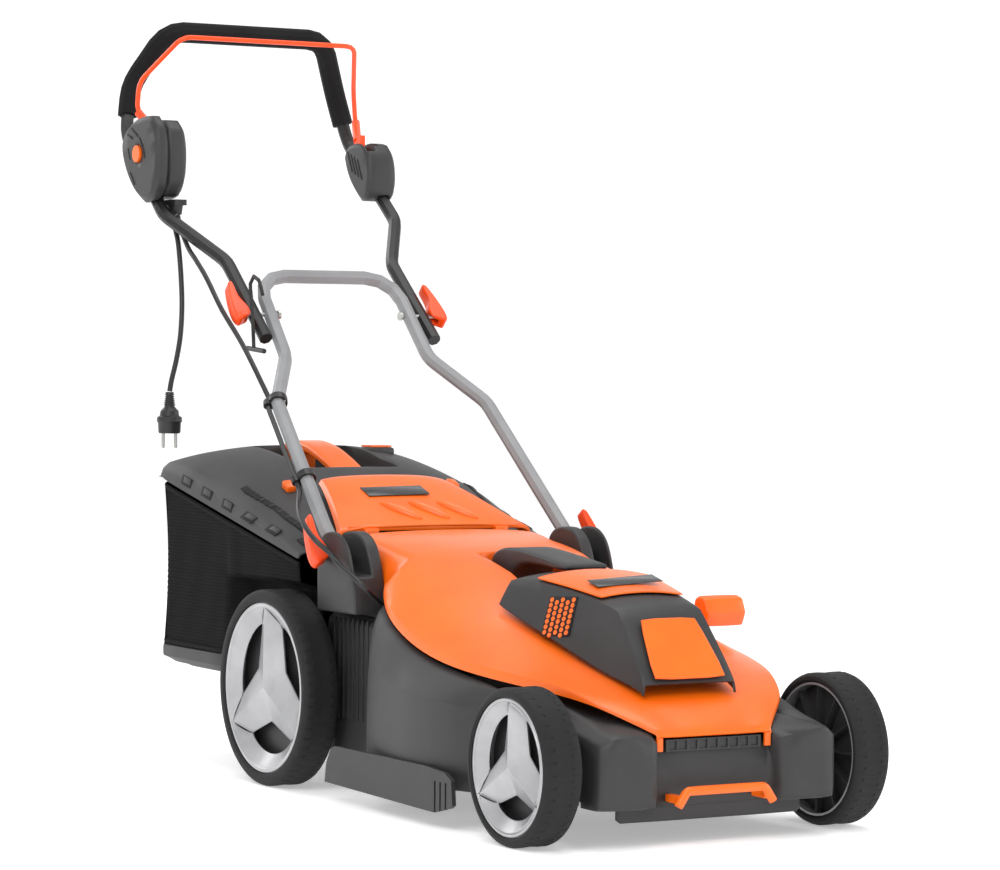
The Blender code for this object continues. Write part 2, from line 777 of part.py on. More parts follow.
def make_hood():
    rows = [hood_row(*station) for station in HOOD_STATIONS]
    front = [(x * 0.985, y - 0.004, z - 0.005) for x, y, z in rows[0]]
    hood = shell("motor_hood", [front] + rows)
    finish(hood, MATERIALS["anthracite"])

    def on_front(t, x):
        low = Vector((0.0, -0.0195, 0.1860))
        high = Vector((0.0, 0.0405, 0.2640))
        return Vector((x, 0.0, 0.0)) + low.lerp(high, t)

    outline = [on_front(0.00, 0.051), on_front(0.86, 0.039), on_front(0.86, -0.039), on_front(0.00, -0.051)]
    bm = bmesh.new()
    face = bm.faces.new([bm.verts.new(p) for p in outline])
    grown = bmesh.ops.extrude_face_region(bm, geom=[face])
    forward = Vector((0, -0.0780, 0.0645)).normalized() * 0.0025
    moved = [v for v in grown["geom"] if isinstance(v, bmesh.types.BMVert)]
    bmesh.ops.translate(bm, vec=forward, verts=moved)
    finish(mesh_object("hood_front_panel", bm), MATERIALS["orange"])

    rows = []
    for station in HOOD_STATIONS[3:6]:
        row = hood_row(*station)
        rows.append([(x * 0.97, y, z + WALL + 0.0012) for x, y, z in row[:3]])
    finish(shell("hood_top_panel", rows, thickness=0.0025), MATERIALS["orange"])


def make_carry_handle():
    """The long grip over the motor, with room for the fingers under it."""
    floor = RECESS_FLOOR + GAP
    outline = [
        (0.3560, floor),
        (0.3840, floor),
        (0.3985, 0.2930),
        (0.3960, 0.3080),
        (0.3840, 0.3170),
        (0.3560, 0.3235),
        (0.3000, 0.3180),
        (0.2120, 0.3075),
        (0.2120, 0.3004),
        (0.2440, 0.3004),
        (0.2620, 0.3030),
        (0.3000, 0.3045),
        (0.3220, 0.3030),
        (0.3380, 0.2960),
        (0.3470, 0.2830),
    ]
    grip = plate("carry_handle", outline, -0.030, 0.030)
    finish(bevelled(grip, 0.0025, 1, 50), MATERIALS["black"])


def make_brackets():
    """Forked brackets: a thick inner cheek, the slot that the handle stands in, and a thin outer cheek."""
    y, z = LOWER_PIVOT
    for side_name, side in SIDES:
        inner = 0.1500
        outer = LOWER_FOOT_X + BRACKET_SLOT + BRACKET_CHEEK
        outline = [
            (y + 0.0285, SHELF_Z + GAP),
            (y + 0.0300, z - 0.010),
            (y + 0.0260, z + 0.016),
            (y + 0.0140, z + 0.027),
            (y - 0.0040, z + 0.0310),
            (y - 0.0250, z + 0.0310),
            (y - 0.0410, z + 0.0255),
            (y - 0.0560, z + 0.0120),
            (y - 0.0650, z - 0.0090),
            (y - 0.0720, z - 0.0300),
            (y - 0.0760, SHELF_Z + GAP),
        ]
        ends = sorted((side * inner, side * outer))
        bracket = plate(f"handle_bracket_{side_name}", outline, *ends)
        slot = sorted((side * (LOWER_FOOT_X - BRACKET_SLOT), side * (LOWER_FOOT_X + BRACKET_SLOT)))
        cut(
            bracket,
            box(f"bracket_slot_{side_name}", (slot[0], y - 0.20, z - 0.024), (slot[1], y + 0.20, z + 0.20)),
            rod(f"bracket_hole_{side_name}", (side * 0.10, y, z), (side * 0.25, y, z), BOLT_R + RUNNING, 12),
        )
        finish(bevelled(bracket, 0.002, 1, 50), MATERIALS["anthracite"])


def make_height_lever():
    y, z = LEVER_PIVOT
    stem = plate(
        "height_lever",
        [
            (y - 0.008, z - 0.006),
            (y + 0.008, z - 0.006),
            (y + 0.008, z + 0.008),
            (y - 0.022, z + 0.072),
            (y - 0.038, z + 0.072),
            (y - 0.008, z + 0.008),
        ],
        LEVER_X - 0.004,
        LEVER_X + 0.004,
    )
    paddle = plate(
        "lever_paddle",
        [
            (y - 0.020, z + 0.066),
            (y - 0.024, z + 0.100),
            (y - 0.034, z + 0.106),
            (y - 0.048, z + 0.102),
            (y - 0.056, z + 0.084),
            (y - 0.048, z + 0.066),
        ],
        LEVER_X - 0.008,
        LEVER_X + 0.052,
    )
    join(stem, bevelled(paddle, 0.004, 2, 40))
    finish(pivot_at(stem, (LEVER_X, y, z)), MATERIALS["orange"])


# ---- rear flap and grass box -------------------------------------------------------------------------------


def make_flap():
    front_half, rear_half = 0.1470, 0.0945
    stations = (
        (0.591, 0.3395, 0.0),
        (0.620, 0.3525, 0.25),
        (0.680, 0.3785, 0.62),
        (0.735, 0.3985, 0.94),
        (0.748, 0.4000, 1.0),
    )
    rows = []
    for y, top, t in stations:
        half = blend(front_half, rear_half, t)
        rows.append(
            [
                (0.0, y, top),
                (half * 0.7, y, top - 0.0015),
                (half - 0.004, y, top - 0.006),
                (half, y, top - 0.020 + 0.008 * t),
            ]
        )
    flap = shell("rear_flap", rows)
    for side in (-1, 1):
        ends = sorted((side * 0.088, side * 0.108))
        lug = box(
            f"flap_knuckle_{side}",
            (ends[0], FLAP_PIVOT[0] - 0.006, FLAP_PIVOT[1] - 0.005),
            (ends[1], FLAP_PIVOT[0] + 0.008, 0.3355),
        )
        join(flap, lug)
    cut(flap, rod("knuckle_hole", (-0.2, *FLAP_PIVOT), (0.2, *FLAP_PIVOT), FLAP_PIN_R + RUNNING, 12))
    finish(pivot_at(flap, (0.0, *FLAP_PIVOT)), MATERIALS["orange"])
    pin = rod("flap_pin", (-0.122, *FLAP_PIVOT), (0.122, *FLAP_PIVOT), FLAP_PIN_R, 10)
    finish(pin, MATERIALS["steel"])


def rim_z(y):
    return blend(RIM_FRONT_Z, RIM_REAR_Z, (y - BOX_FRONT) / (BOX_REAR - BOX_FRONT))


LID_TOPS = (
    (BOX_FRONT, 0.3170),
    (0.660, 0.3450),
    (0.735, 0.3715),
    (0.760, 0.3830),
    (0.800, 0.4030),
    (0.880, 0.4220),
    (0.960, 0.4330),
    (1.010, 0.4340),
)


def lid_top(y):
    """Height of the lid along its middle."""
    return lerp_table(LID_TOPS, y)


def make_lid():
    rows = []
    for y, top in LID_TOPS:
        rim = rim_z(y)
        rows.append(
            [
                (0.0, y, top),
                (0.090, y, top - 0.002),
                (0.150, y, blend(top, rim, 0.22)),
                (0.184, y, blend(top, rim, 0.48)),
                (RIM_HALF - 0.003, y, blend(top, rim, 0.70)),
                (RIM_HALF, y, rim),
            ]
        )
    rim = rim_z(BOX_REAR)
    rows.append(
        [
            (0.0, BOX_REAR + 0.014, 0.4240),
            (0.090, BOX_REAR + 0.012, 0.4230),
            (0.150, BOX_REAR + 0.007, 0.4170),
            (0.181, BOX_REAR + 0.002, 0.4100),
            (0.193, BOX_REAR - 0.002, 0.4020),
            (0.197, BOX_REAR - 0.004, rim),
        ]
    )
    rows.append([(x * 1.008, y + 0.006, rim) for x, y, _ in rows[-1]])
    lid = shell("box_lid", rows, thickness=WALL)
    half, front, rear, floor = 0.075, 0.824, 0.998, 0.3880
    wall = 0.003
    tops = [(y, lid_top(y) - 0.0025) for y in (rear + wall, 0.960, 0.880, front - wall)]
    floor_edge = [(front - wall, floor), (rear + wall, floor)]
    tray = plate("recess_tray", floor_edge + tops, -half - wall, half + wall)
    recess = box("recess", (-half, front, floor + wall), (half, rear, 0.5))
    cut(join(lid, tray), recess)
    finish(lid, MATERIALS["lid"])


def mirrored(points):
    """The same points on the other side, in the order that goes on round."""
    return [(-x, y, z) for x, y, z in reversed(points)]


def bag_outline(inset, neck_half):
    """The bag's walls seen from above: a neck of the given half width, shoulders, then the full width."""
    return (
        (neck_half - inset, BOX_FRONT),
        (neck_half - inset, BAG_SHOULDER_Y - inset * 0.4),
        (BAG_HALF - inset, BAG_SHOULDER_Y + 0.030 - inset * 0.4),
        (BAG_HALF - inset, BOX_REAR - 0.016),
        (BAG_HALF - 0.012 - inset, BOX_REAR - 0.004 - inset),
    )


def make_bag():
    stack = []
    levels = (
        (BAG_NECK_HALF, lambda y: BASE_TOP + GAP, 0.0),
        (BAG_NECK_HALF, lambda y: BAG_SHELF_Z, BAG_WALL),
        (BAG_HALF, lambda y: BAG_SHELF_Z + 0.008, BAG_WALL),
        (BAG_HALF, lambda y: rim_z(y) - 0.006, 0.0),
    )
    for neck_half, height, inner_rise in levels:
        outer = [(x, y, height(y)) for x, y in bag_outline(0.0, neck_half)]
        inner = [(x, y, height(y) + inner_rise) for x, y in bag_outline(BAG_WALL, neck_half)]
        stack.append(outer + mirrored(outer) + [(-x, y, z) for x, y, z in inner] + inner[::-1])
    finish(rings("grass_bag", stack), MATERIALS["fabric"])

    tray_front = 0.668
    pad = 0.002
    outline = [
        (BAG_NECK_HALF + pad, tray_front),
        (BAG_NECK_HALF + pad, BAG_SHOULDER_Y),
        (BAG_HALF + pad, BAG_SHOULDER_Y + 0.030),
        (BAG_HALF + pad, BOX_REAR - 0.014),
        (BAG_HALF - 0.012, BOX_REAR),
    ]
    ring = outline + [(-x, y) for x, y in reversed(outline)]
    base = rings(
        "box_base",
        [
            [(x * 0.95, blend(0.85, y, 0.93), BASE_BOTTOM) for x, y in ring],
            [(x, y, BASE_BOTTOM + 0.010) for x, y in ring],
            [(x, y, BASE_TOP) for x, y in ring],
        ],
    )
    inside = rings(
        "base_inside",
        [
            [(x * 0.94, blend(0.85, y, 0.92), BASE_BOTTOM + 0.004) for x, y in ring],
            [(x * 0.97, blend(0.85, y, 0.97), BASE_TOP + 0.010) for x, y in ring],
        ],
    )
    finish(cut(base, inside), MATERIALS["lid"])


def make_box_fittings():
    """The carrying strap over the lid's recess and the flap that shows when the box is full."""
    floor = 0.3910 + GAP
    outline = [
        (0.8260, floor),
        (0.8270, 0.3990),
        (0.8340, 0.4040),
        (0.8920, 0.4280),
        (0.9300, 0.4375),
        (0.9600, 0.4410),
        (0.9860, 0.4400),
        (0.9960, 0.4330),
        (0.9960, floor),
        (0.9840, floor),
        (0.9830, 0.4220),
        (0.9740, 0.4285),
        (0.9340, 0.4265),
        (0.8900, 0.4150),
        (0.8480, 0.3970),
        (0.8420, floor),
    ]
    strap = plate("box_handle", outline, -0.024, 0.024)
    finish(bevelled(strap, 0.003, 1, 50), MATERIALS["orange"])

    y, z = INDICATOR_PIVOT
    flap = box("full_indicator", (0.082, y - 0.030, z - 0.0012), (0.114, y, z + 0.0012))
    finish(pivot_at(flap, (0.098, y, z)), MATERIALS["orange"])


INDICATOR_PIVOT = (0.9560, 0.4325)


# ---- handle ------------------------------------------------------------------------------------------------


def mirrored_path(half, radii, arc=3):
    """A bent tube from its right foot, over the middle, to its left foot."""
    points = list(half) + [Vector((-p.x, p.y, p.z)) for p in reversed(half)]
    return rounded(points, list(radii) + list(reversed(radii)), arc)


def lower_path():
    y, z = LOWER_PIVOT
    half = [
        Vector((LOWER_FOOT_X, y - 0.008, z - 0.008)),
        Vector((LOWER_FOOT_X - 0.002, 0.5700, 0.3400)),
        Vector((0.1610, 0.7400, 0.4980)),
        Vector((0.1110, 0.8140, 0.5580)),
        Vector((LOWER_TOP_X - 0.002, 0.9160, 0.6700)),
    ]
    return mirrored_path(half, (0.05, 0.05, 0.05, 0.045))


def make_lower_handle():
    y, z = LOWER_PIVOT
    handle = as_mesh(tube("lower_handle", lower_path(), TUBE_R, 2))
    for side in (-1, 1):
        cut(
            handle,
            rod(f"lower_hole_{side}", (side * 0.10, y, z), (side * 0.25, y, z), BOLT_R + RUNNING, 12),
            rod(
                f"joint_hole_{side}",
                (side * 0.08, *UPPER_PIVOT),
                (side * 0.16, *UPPER_PIVOT),
                BOLT_R + RUNNING,
                12,
            ),
        )
    finish(pivot_at(handle, (0, y, z)), MATERIALS["grey_paint"], 50)


GRIP_END = 0.9040


def upper_half():
    return [
        Vector((UPPER_FOOT_X, 0.8340, 0.5830)),
        Vector((UPPER_FOOT_X - 0.0005, 0.9600, 0.6905)),
        Vector((0.1850, 1.0490, 0.7560)),
        Vector((BOX_X, 1.1900, 0.8770)),
        Vector((0.1665, 1.2060, 0.9480)),
        Vector((0.1260, 1.1680, 1.0250)),
    ]


UPPER_BENDS = (0.05, 0.05, 0.05, 0.06, 0.040)


def make_upper_handle():
    path = mirrored_path(upper_half(), UPPER_BENDS)
    handle = as_mesh(tube("upper_handle", path, TUBE_R, 2))
    y, z = UPPER_PIVOT
    for side in (-1, 1):
        cut(
            handle,
            rod(f"clamp_hole_{side}", (side * 0.08, y, z), (side * 0.16, y, z), BOLT_R + RUNNING, 12),
        )
    finish(pivot_at(handle, (0, y, z)), MATERIALS["black_paint"], 50)

    sleeve = above(path, GRIP_END)
    cover = as_mesh(tube("foam_grip", sleeve, FOAM_R, 3))
    core = as_mesh(tube("foam_core", above(path, GRIP_END - 0.015), CHANNEL_R, 6))
    finish(cut(cover, core), MATERIALS["foam"], 60)


def above(points, height):
    """The middle part of a path, from where it first rises past a height to where it last falls below it."""
    made = []
    for p, q in zip(points, points[1:]):
        if (p.z - height) * (q.z - height) < 0:
            made.append(p.lerp(q, (height - p.z) / (q.z - p.z)))
        if q.z > height:
            made.append(q)
    return made


BAIL_PIVOT = (1.1190, 0.8450)


def make_bail():
    y, z = BAIL_PIVOT
    half = [
        Vector((0.1640, y + 0.010, z + 0.034)),
        Vector((0.1765, 1.1600, 0.9110)),
        Vector((0.1735, 1.1600, 0.9500)),
        Vector((0.1380, 1.0910, 1.0110)),
    ]
    wire = as_mesh(tube("bail", mirrored_path(half, (0.02, 0.03, 0.02), arc=3), BAIL_R, 2))
    for side in (-1, 1):
        arm = rod(
            f"bail_arm_{side}",
            (side * 0.1640, y + 0.010, z + 0.032),
            (side * 0.1760, 1.1570, 0.9060),
            0.0060,
            10,
        )
        hub = rod(f"bail_hub_{side}", (side * 0.1604, y, z), (side * 0.1700, y, z), 0.0105, 14)
        link = box(
            f"bail_link_{side}",
            (min(side * 0.1610, side * 0.1690), y - 0.0050, z),
            (max(side * 0.1610, side * 0.1690), y + 0.0150, z + 0.0390),
        )
        join(wire, arm, hub, link)
    finish(pivot_at(wire, (0, y, z)), MATERIALS["red_orange"], 50)


def tube_channel(name, side):
    path = mirrored_path(upper_half(), UPPER_BENDS)
    near = [p for p in path if p.x * side > 0 and 0.70 < p.z < 0.93]
    return as_mesh(tube(name, near, CHANNEL_R, 6))


def make_boxes():
    """The switch box and the smaller pivot box, each clamped round one leg of the upper handle."""
    y, z = BAIL_PIVOT
    big = [
        (1.0564, 0.8950),
        (1.0396, 0.8811),
        (1.0315, 0.8551),
        (1.0312, 0.8318),
        (1.0352, 0.7994),
        (1.0520, 0.7792),
        (1.0773, 0.7740),
        (1.1100, 0.7880),
        (1.1400, 0.8200),
        (1.1557, 0.8514),
        (1.1491, 0.8725),
        (1.1240, 0.8890),
        (1.0901, 0.8960),
    ]
    middle = (1.092, 0.836)
    tight = [(blend(middle[0], a, 0.90), blend(middle[1], b, 0.92)) for a, b in big]
    small = [
        (1.1580, 0.8540),
        (1.1450, 0.8690),
        (1.1180, 0.8750),
        (1.0920, 0.8690),
        (1.0770, 0.8520),
        (1.0720, 0.8250),
        (1.0740, 0.8010),
        (1.0850, 0.7860),
        (1.1050, 0.7870),
        (1.1400, 0.8180),
    ]
    outer = plate("switch_box_outer", big, -0.2050, -BOX_X - 0.004 - GAP)
    inner = plate("switch_box_inner", tight, -BOX_X - 0.004, -0.1540)
    pivot = plate("pivot_box", small, 0.1540, 0.2000)
    for name, piece in (("outer", outer), ("inner", inner), ("pivot", pivot)):
        bevelled(piece, 0.005, 1, 50)
    cut(outer, tube_channel("channel_outer", -1))
    cut(inner, tube_channel("channel_inner", -1))
    cut(pivot, tube_channel("channel_pivot", 1))
    for name, piece, side in (("inner", inner, -1), ("pivot", pivot, 1)):
        low, high = sorted((side * 0.1580, side * 0.1704))
        room = plate(
            f"bail_room_{name}",
            [
                (y - 0.0140, z - 0.0125),
                (y + 0.0140, z - 0.0125),
                (y + 0.0600, z + 0.0300),
                (y + 0.0600, z + 0.0900),
                (y - 0.0380, z + 0.0900),
                (y - 0.0380, z + 0.0200),
            ],
            low,
            high,
        )
        low, high = sorted((side * 0.1580, side * 0.1800))
        cut(piece, room, box(f"bail_exit_{name}", (low, y - 0.0400, 0.8680), (high, y + 0.0550, 0.9400)))
    hole = rod("button_hole", (-0.25, *BUTTON), (-0.190, *BUTTON), BUTTON_R + RUNNING, 20)
    cut(outer, hole)
    for piece in (outer, inner, pivot):
        finish(piece, MATERIALS["anthracite"])

    button = rod("switch_button", (-0.2085, *BUTTON), (-0.1935, *BUTTON), BUTTON_R, 20)
    finish(pivot_at(button, (-0.2085, *BUTTON)), MATERIALS["orange"], 40)


BUTTON = (1.0940, 0.8430)
BUTTON_R = 0.0120
GLAND_X = -0.166
PLUG_GLAND = (1.0620, 0.7700)
MOTOR_GLAND = (1.0440, 0.7700)


def make_glands():
    """The two rubber boots under the switch box, on one foot."""
    foot = box("cord_glands", (GLAND_X - 0.008, 1.036, 0.7700), (GLAND_X + 0.010, 1.071, 0.7780))
    root = 0.7740
    tip = 0.7570
    plug_y = PLUG_GLAND[0]
    motor_y = MOTOR_GLAND[0]
    plug = rod("plug_boot", (GLAND_X, plug_y, root), (GLAND_X, plug_y, tip), 0.0078, 10, 0.0056)
    motor = rod("motor_boot", (GLAND_X, motor_y, root), (GLAND_X, motor_y, tip), 0.0078, 10, 0.0056)
    join(foot, plug, motor)
    finish(foot, MATERIALS["black"])


def cam_lever(name, side, pivot_yz, pin_x, direction):
    """A quick-release lever: its head turns on a cross pin and its paddle lies along the handle."""
    y, z = pivot_yz
    along = Vector((0, math.cos(direction), math.sin(direction)))
    profile = [
        (-0.0100, 0.0110),
        (-0.0100, -0.0010),
        (-0.0085, -0.0055),
        (-0.0045, -0.0095),
        (0.0010, -0.0115),
        (0.0080, -0.0155),
        (0.0125, -0.0120),
        (0.0140, -0.0040),
        (0.0140, 0.0060),
        (0.0110, 0.0300),
        (0.0050, 0.0560),
        (-0.0010, 0.0590),
        (-0.0030, 0.0520),
        (-0.0010, 0.0260),
    ]
    fork = [(-0.0300, 0.0045), (0.0045, 0.0045), (0.0045, -0.0040), (-0.0080, -0.0260), (-0.0300, -0.0260)]
    across = Vector((0, -along.z, along.y))

    def slab(of, outline, half):
        """An outline in the lever's own plane, made thick to both sides."""
        bm = bmesh.new()
        points = [Vector((side * (pin_x + out), y, z)) + along * up - across * half for out, up in outline]
        face = bm.faces.new([bm.verts.new(p) for p in points])
        grown = bmesh.ops.extrude_face_region(bm, geom=[face])
        moved = [v for v in grown["geom"] if isinstance(v, bmesh.types.BMVert)]
        bmesh.ops.translate(bm, vec=across * half * 2, verts=moved)
        return mesh_object(of, bm)

    lever = bevelled(slab(name, profile, 0.009), 0.0015, 1, 40)
    cut(lever, slab(f"{name}_fork", fork, 0.0042))
    finish(pivot_at(lever, (side * pin_x, y, z)), MATERIALS["red_orange"])


def make_clamps():
    for side_name, side in SIDES:
        y, z = UPPER_PIVOT
        pin_x = UPPER_FOOT_X + TUBE_R + 0.0105
        bolt = rod(
            f"clamp_bolt_upper_{side_name}",
            (side * (LOWER_TOP_X - TUBE_R - 0.0040), y, z),
            (side * (pin_x + 0.003), y, z),
            BOLT_R,
            12,
        )
        head = rod(
            f"upper_head_{side_name}",
            (side * (LOWER_TOP_X - TUBE_R - 0.0055), y, z),
            (side * (LOWER_TOP_X - TUBE_R - 0.0015), y, z),
            0.0060,
            12,
        )
        finish(join(bolt, head), MATERIALS["steel"])
        cam_lever(f"cam_lever_upper_{side_name}", side, UPPER_PIVOT, pin_x, math.radians(44))

        y, z = LOWER_PIVOT
        pin_x = LOWER_FOOT_X + BRACKET_SLOT + BRACKET_CHEEK + 0.0108
        bolt = rod(
            f"clamp_bolt_lower_{side_name}",
            (side * 0.1520, y, z),
            (side * (pin_x + 0.003), y, z),
            BOLT_R,
            12,
        )
        finish(bolt, MATERIALS["steel"])
        cam_lever(f"cam_lever_lower_{side_name}", side, LOWER_PIVOT, pin_x, math.radians(54))


# ---- leads, clips and hook ---------------------------------------------------------------------------------

PLUG_TOP = Vector((-0.1990, 0.9970, 0.5090))
PLUG_ROUTE = [
    Vector((GLAND_X, PLUG_GLAND[0], 0.7556)),
    Vector((-0.1661, 1.0600, 0.7500)),
    Vector((-0.1668, 1.0490, 0.7340)),
    Vector((-0.1690, 1.0349, 0.7140)),
    Vector((-0.1735, 1.0166, 0.6716)),
    Vector((-0.1780, 1.0032, 0.6295)),
    Vector((-0.1840, 0.9948, 0.5876)),
    Vector((-0.1900, 0.9950, 0.5527)),
    Vector((-0.1965, 0.9962, 0.5249)),
    PLUG_TOP,
]
CLIP_UPPER = 0.7420
CLIP_LOWER = 0.6360
UPPER_ROUTE = [
    Vector((GLAND_X, MOTOR_GLAND[0], 0.7564)),
    Vector((-0.1640, 1.0400, 0.7385)),
    Vector((-0.1635, 1.0250, 0.7205)),
    Vector((-0.1660, 1.0050, 0.7060)),
    Vector((-0.1680, 0.9787, 0.6910)),
    Vector((-0.1685, 0.9441, 0.6660)),
    Vector((-0.1690, 0.8939, 0.6220)),
    Vector((-0.1705, 0.8345, 0.5810)),
    Vector((-0.1730, 0.7900, 0.5480)),
]
LOWER_ROUTE = [
    Vector((-0.1980, 0.6034, 0.3700)),
    Vector((-0.2120, 0.5760, 0.3640)),
    Vector((-0.2215, 0.5520, 0.3540)),
    Vector((-0.2260, 0.5250, 0.3400)),
    Vector((-0.2225, 0.5050, 0.3255)),
    Vector((-0.2110, 0.4930, 0.3120)),
    Vector((-0.2045, 0.4830, 0.3000)),
    Vector((-0.2030, 0.4651, 0.2910)),
    Vector((-0.2010, 0.4409, 0.2810)),
    Vector((-0.1930, 0.4290, 0.2700)),
    Vector((-0.1780, 0.4330, 0.2580)),
    Vector((-0.1600, 0.4420, 0.2470)),
    Vector((-0.1400, 0.4500, 0.2440)),
    Vector((-0.1275, 0.4530, 0.2440)),
]


def left_leg(y):
    """The middle of the lower handle's left leg at a place along the machine."""
    path = [p for p in lower_path() if p.x < 0]
    for p, q in zip(path, path[1:]):
        if (p.y - y) * (q.y - y) <= 0:
            return p.lerp(q, (y - p.y) / (q.y - p.y))
    return path[-1]


def lead_beside(y):
    """The motor lead's middle where it lies along the left leg."""
    return left_leg(y) + Vector((-0.924, 0.273, -0.268)) * (TUBE_R + MOTOR_LEAD_R + 0.0012)


def lead_routes():
    """The motor lead in the three lengths that its clips part it into."""
    joint = 0.0006
    top, low = CLIP_UPPER + 0.010, CLIP_LOWER - 0.006
    upper = UPPER_ROUTE + [lead_beside(top + joint * 3)]
    middle = [lead_beside(blend(top, low, i / 8)) for i in range(9)]
    lower = [lead_beside(low - joint), lead_beside(low - 0.012)] + LOWER_ROUTE
    return upper, middle, lower


def make_leads():
    upper, middle, lower = lead_routes()
    for name, route, radius in (
        ("plug_lead", PLUG_ROUTE, PLUG_LEAD_R),
        ("motor_lead_upper", upper, MOTOR_LEAD_R),
        ("motor_lead_mid", middle, MOTOR_LEAD_R),
        ("motor_lead_lower", lower, MOTOR_LEAD_R),
    ):
        finish(tube(name, spline_points(route, 0.012), radius, 1), MATERIALS["rubber"])


def make_plug():
    """A round two-pin mains plug with its long ribbed grip."""
    x, y = PLUG_TOP.x, PLUG_TOP.y
    top = PLUG_TOP.z - 0.0008
    body = rod("mains_plug", (x, y, top), (x, y, top - 0.034), 0.0070, 12, 0.0090)
    waist = rod("plug_waist", (x, y, top - 0.030), (x, y, top - 0.040), 0.0090, 12, 0.0175)
    drum = rod("plug_drum", (x, y, top - 0.039), (x, y, top - 0.0600), 0.0175, 16)
    join(body, waist, drum)
    for side in (-1, 1):
        pin_x = x + side * 0.0095
        pin = rod(f"plug_pin_{side}", (pin_x, y, top - 0.058), (pin_x, y, top - 0.0780), 0.0024, 8)
        join(body, pin)
    finish(body, MATERIALS["black"])


def make_clips():
    """Two bands that hold the motor lead on the lower handle's left leg."""
    leg = [left_leg(0.580 + 0.010 * i) for i in range(24)]
    lead = [lead_beside(0.600 + 0.010 * i) for i in range(20)]
    for name, y in (("cord_clip_upper", CLIP_UPPER), ("cord_clip_lower", CLIP_LOWER)):
        along = (left_leg(y + 0.005) - left_leg(y - 0.005)).normalized() * 0.0050
        band = rod(name, left_leg(y) - along, left_leg(y) + along, TUBE_R + 0.0035, 16)
        beside = lead_beside(y)
        ear = rod(f"{name}_ear", beside - along * 0.98, beside + along * 0.98, MOTOR_LEAD_R + 0.0028, 12)
        join(band, ear)
        tube_room = as_mesh(tube(f"{name}_tube_room", leg, CHANNEL_R, 6))
        lead_room = as_mesh(tube(f"{name}_lead_room", lead, MOTOR_LEAD_R + GAP * 2, 3))
        cut(band, tube_room, lead_room)
        finish(band, MATERIALS["black"])


def make_hook():
    """The hook that keeps the extension lead off the plug, hung on the handle joint."""
    x = -(UPPER_FOOT_X + TUBE_R + 0.0040)
    route = [
        Vector((x, 0.8180, 0.6420)),
        Vector((x, 0.8300, 0.6620)),
        Vector((x, 0.8455, 0.6680)),
        Vector((x, 0.8560, 0.6580)),
        Vector((x, 0.8530, 0.6400)),
        Vector((x, 0.8470, 0.5989)),
        Vector((x, 0.8442, 0.5700)),
    ]
    hook = as_mesh(tube("cord_hook", spline_points(route, 0.012), 0.0028, 1))
    bar = rod("hook_bar", (x, 0.8120, 0.5660), (x, 0.8640, 0.5700), 0.0034, 8)
    finish(join(hook, bar), MATERIALS["black"])


# ---- the machine -------------------------------------------------------------------------------------------


def make_materials():
    return {
        "orange": material("orange_plastic", ORANGE, 0.35),
        "red_orange": material("red_orange_plastic", RED_ORANGE, 0.35),
        "anthracite": material("anthracite_plastic", ANTHRACITE, 0.55),
        "lid": material("lid_plastic", LID_GREY, 0.55),
        "black": material("black_plastic", BLACK, 0.5),
        "rubber": material("tyre_rubber", BLACK, 0.75),
        "silver": material("silver_plastic", SILVER, 0.3, 0.6),
        "steel": material("plated_steel", STEEL, 0.35, 1.0),
        "grey_paint": material("grey_painted_tube", GREY_PAINT, 0.4, 0.4),
        "black_paint": material("black_painted_tube", BLACK, 0.4),
        "foam": material("foam", BLACK, 0.9),
        "fabric": material("mesh_fabric", BLACK, 0.9),
    }


def main():
    make_running_gear()
    make_deck()
    for side_name, side in SIDES:
        make_comb(side_name, side)
    make_front_pieces()
    make_cutter()
    make_main_cover()
    make_hood()
    make_carry_handle()
    make_brackets()
    make_height_lever()
    make_flap()
    make_lid()
    make_bag()
    make_box_fittings()
    make_lower_handle()
    make_upper_handle()
    make_bail()
    make_boxes()
    make_glands()
    make_clamps()
    make_leads()
    make_plug()
    make_clips()
    make_hook()


clear_scene()
PARTS = collection("push_lawn_mower")
CUTTERS = collection("cutters", hidden=True)
FRAME = bpy.data.objects.new("mower_frame", None)
PARTS.objects.link(FRAME)
FRAME.location = (0.0, -ORIGIN_BACK, 0.0)
MATERIALS = make_materials()
main()
bpy.context.view_layer.update()
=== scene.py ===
"""Visual model of a corded electric push mower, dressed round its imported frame.

Every size is in metres. A place written as (x, back, z) is measured back from the front axle, as on the
maker's drawing, and FrontAxle turns it into the frame's own place.
"""

import json
import logging
import math
from dataclasses import dataclass, field
from enum import Enum
from typing import Callable, Iterable, Sequence

import bmesh
import bpy
from mathutils import Matrix, Vector
from mathutils.bvhtree import BVHTree


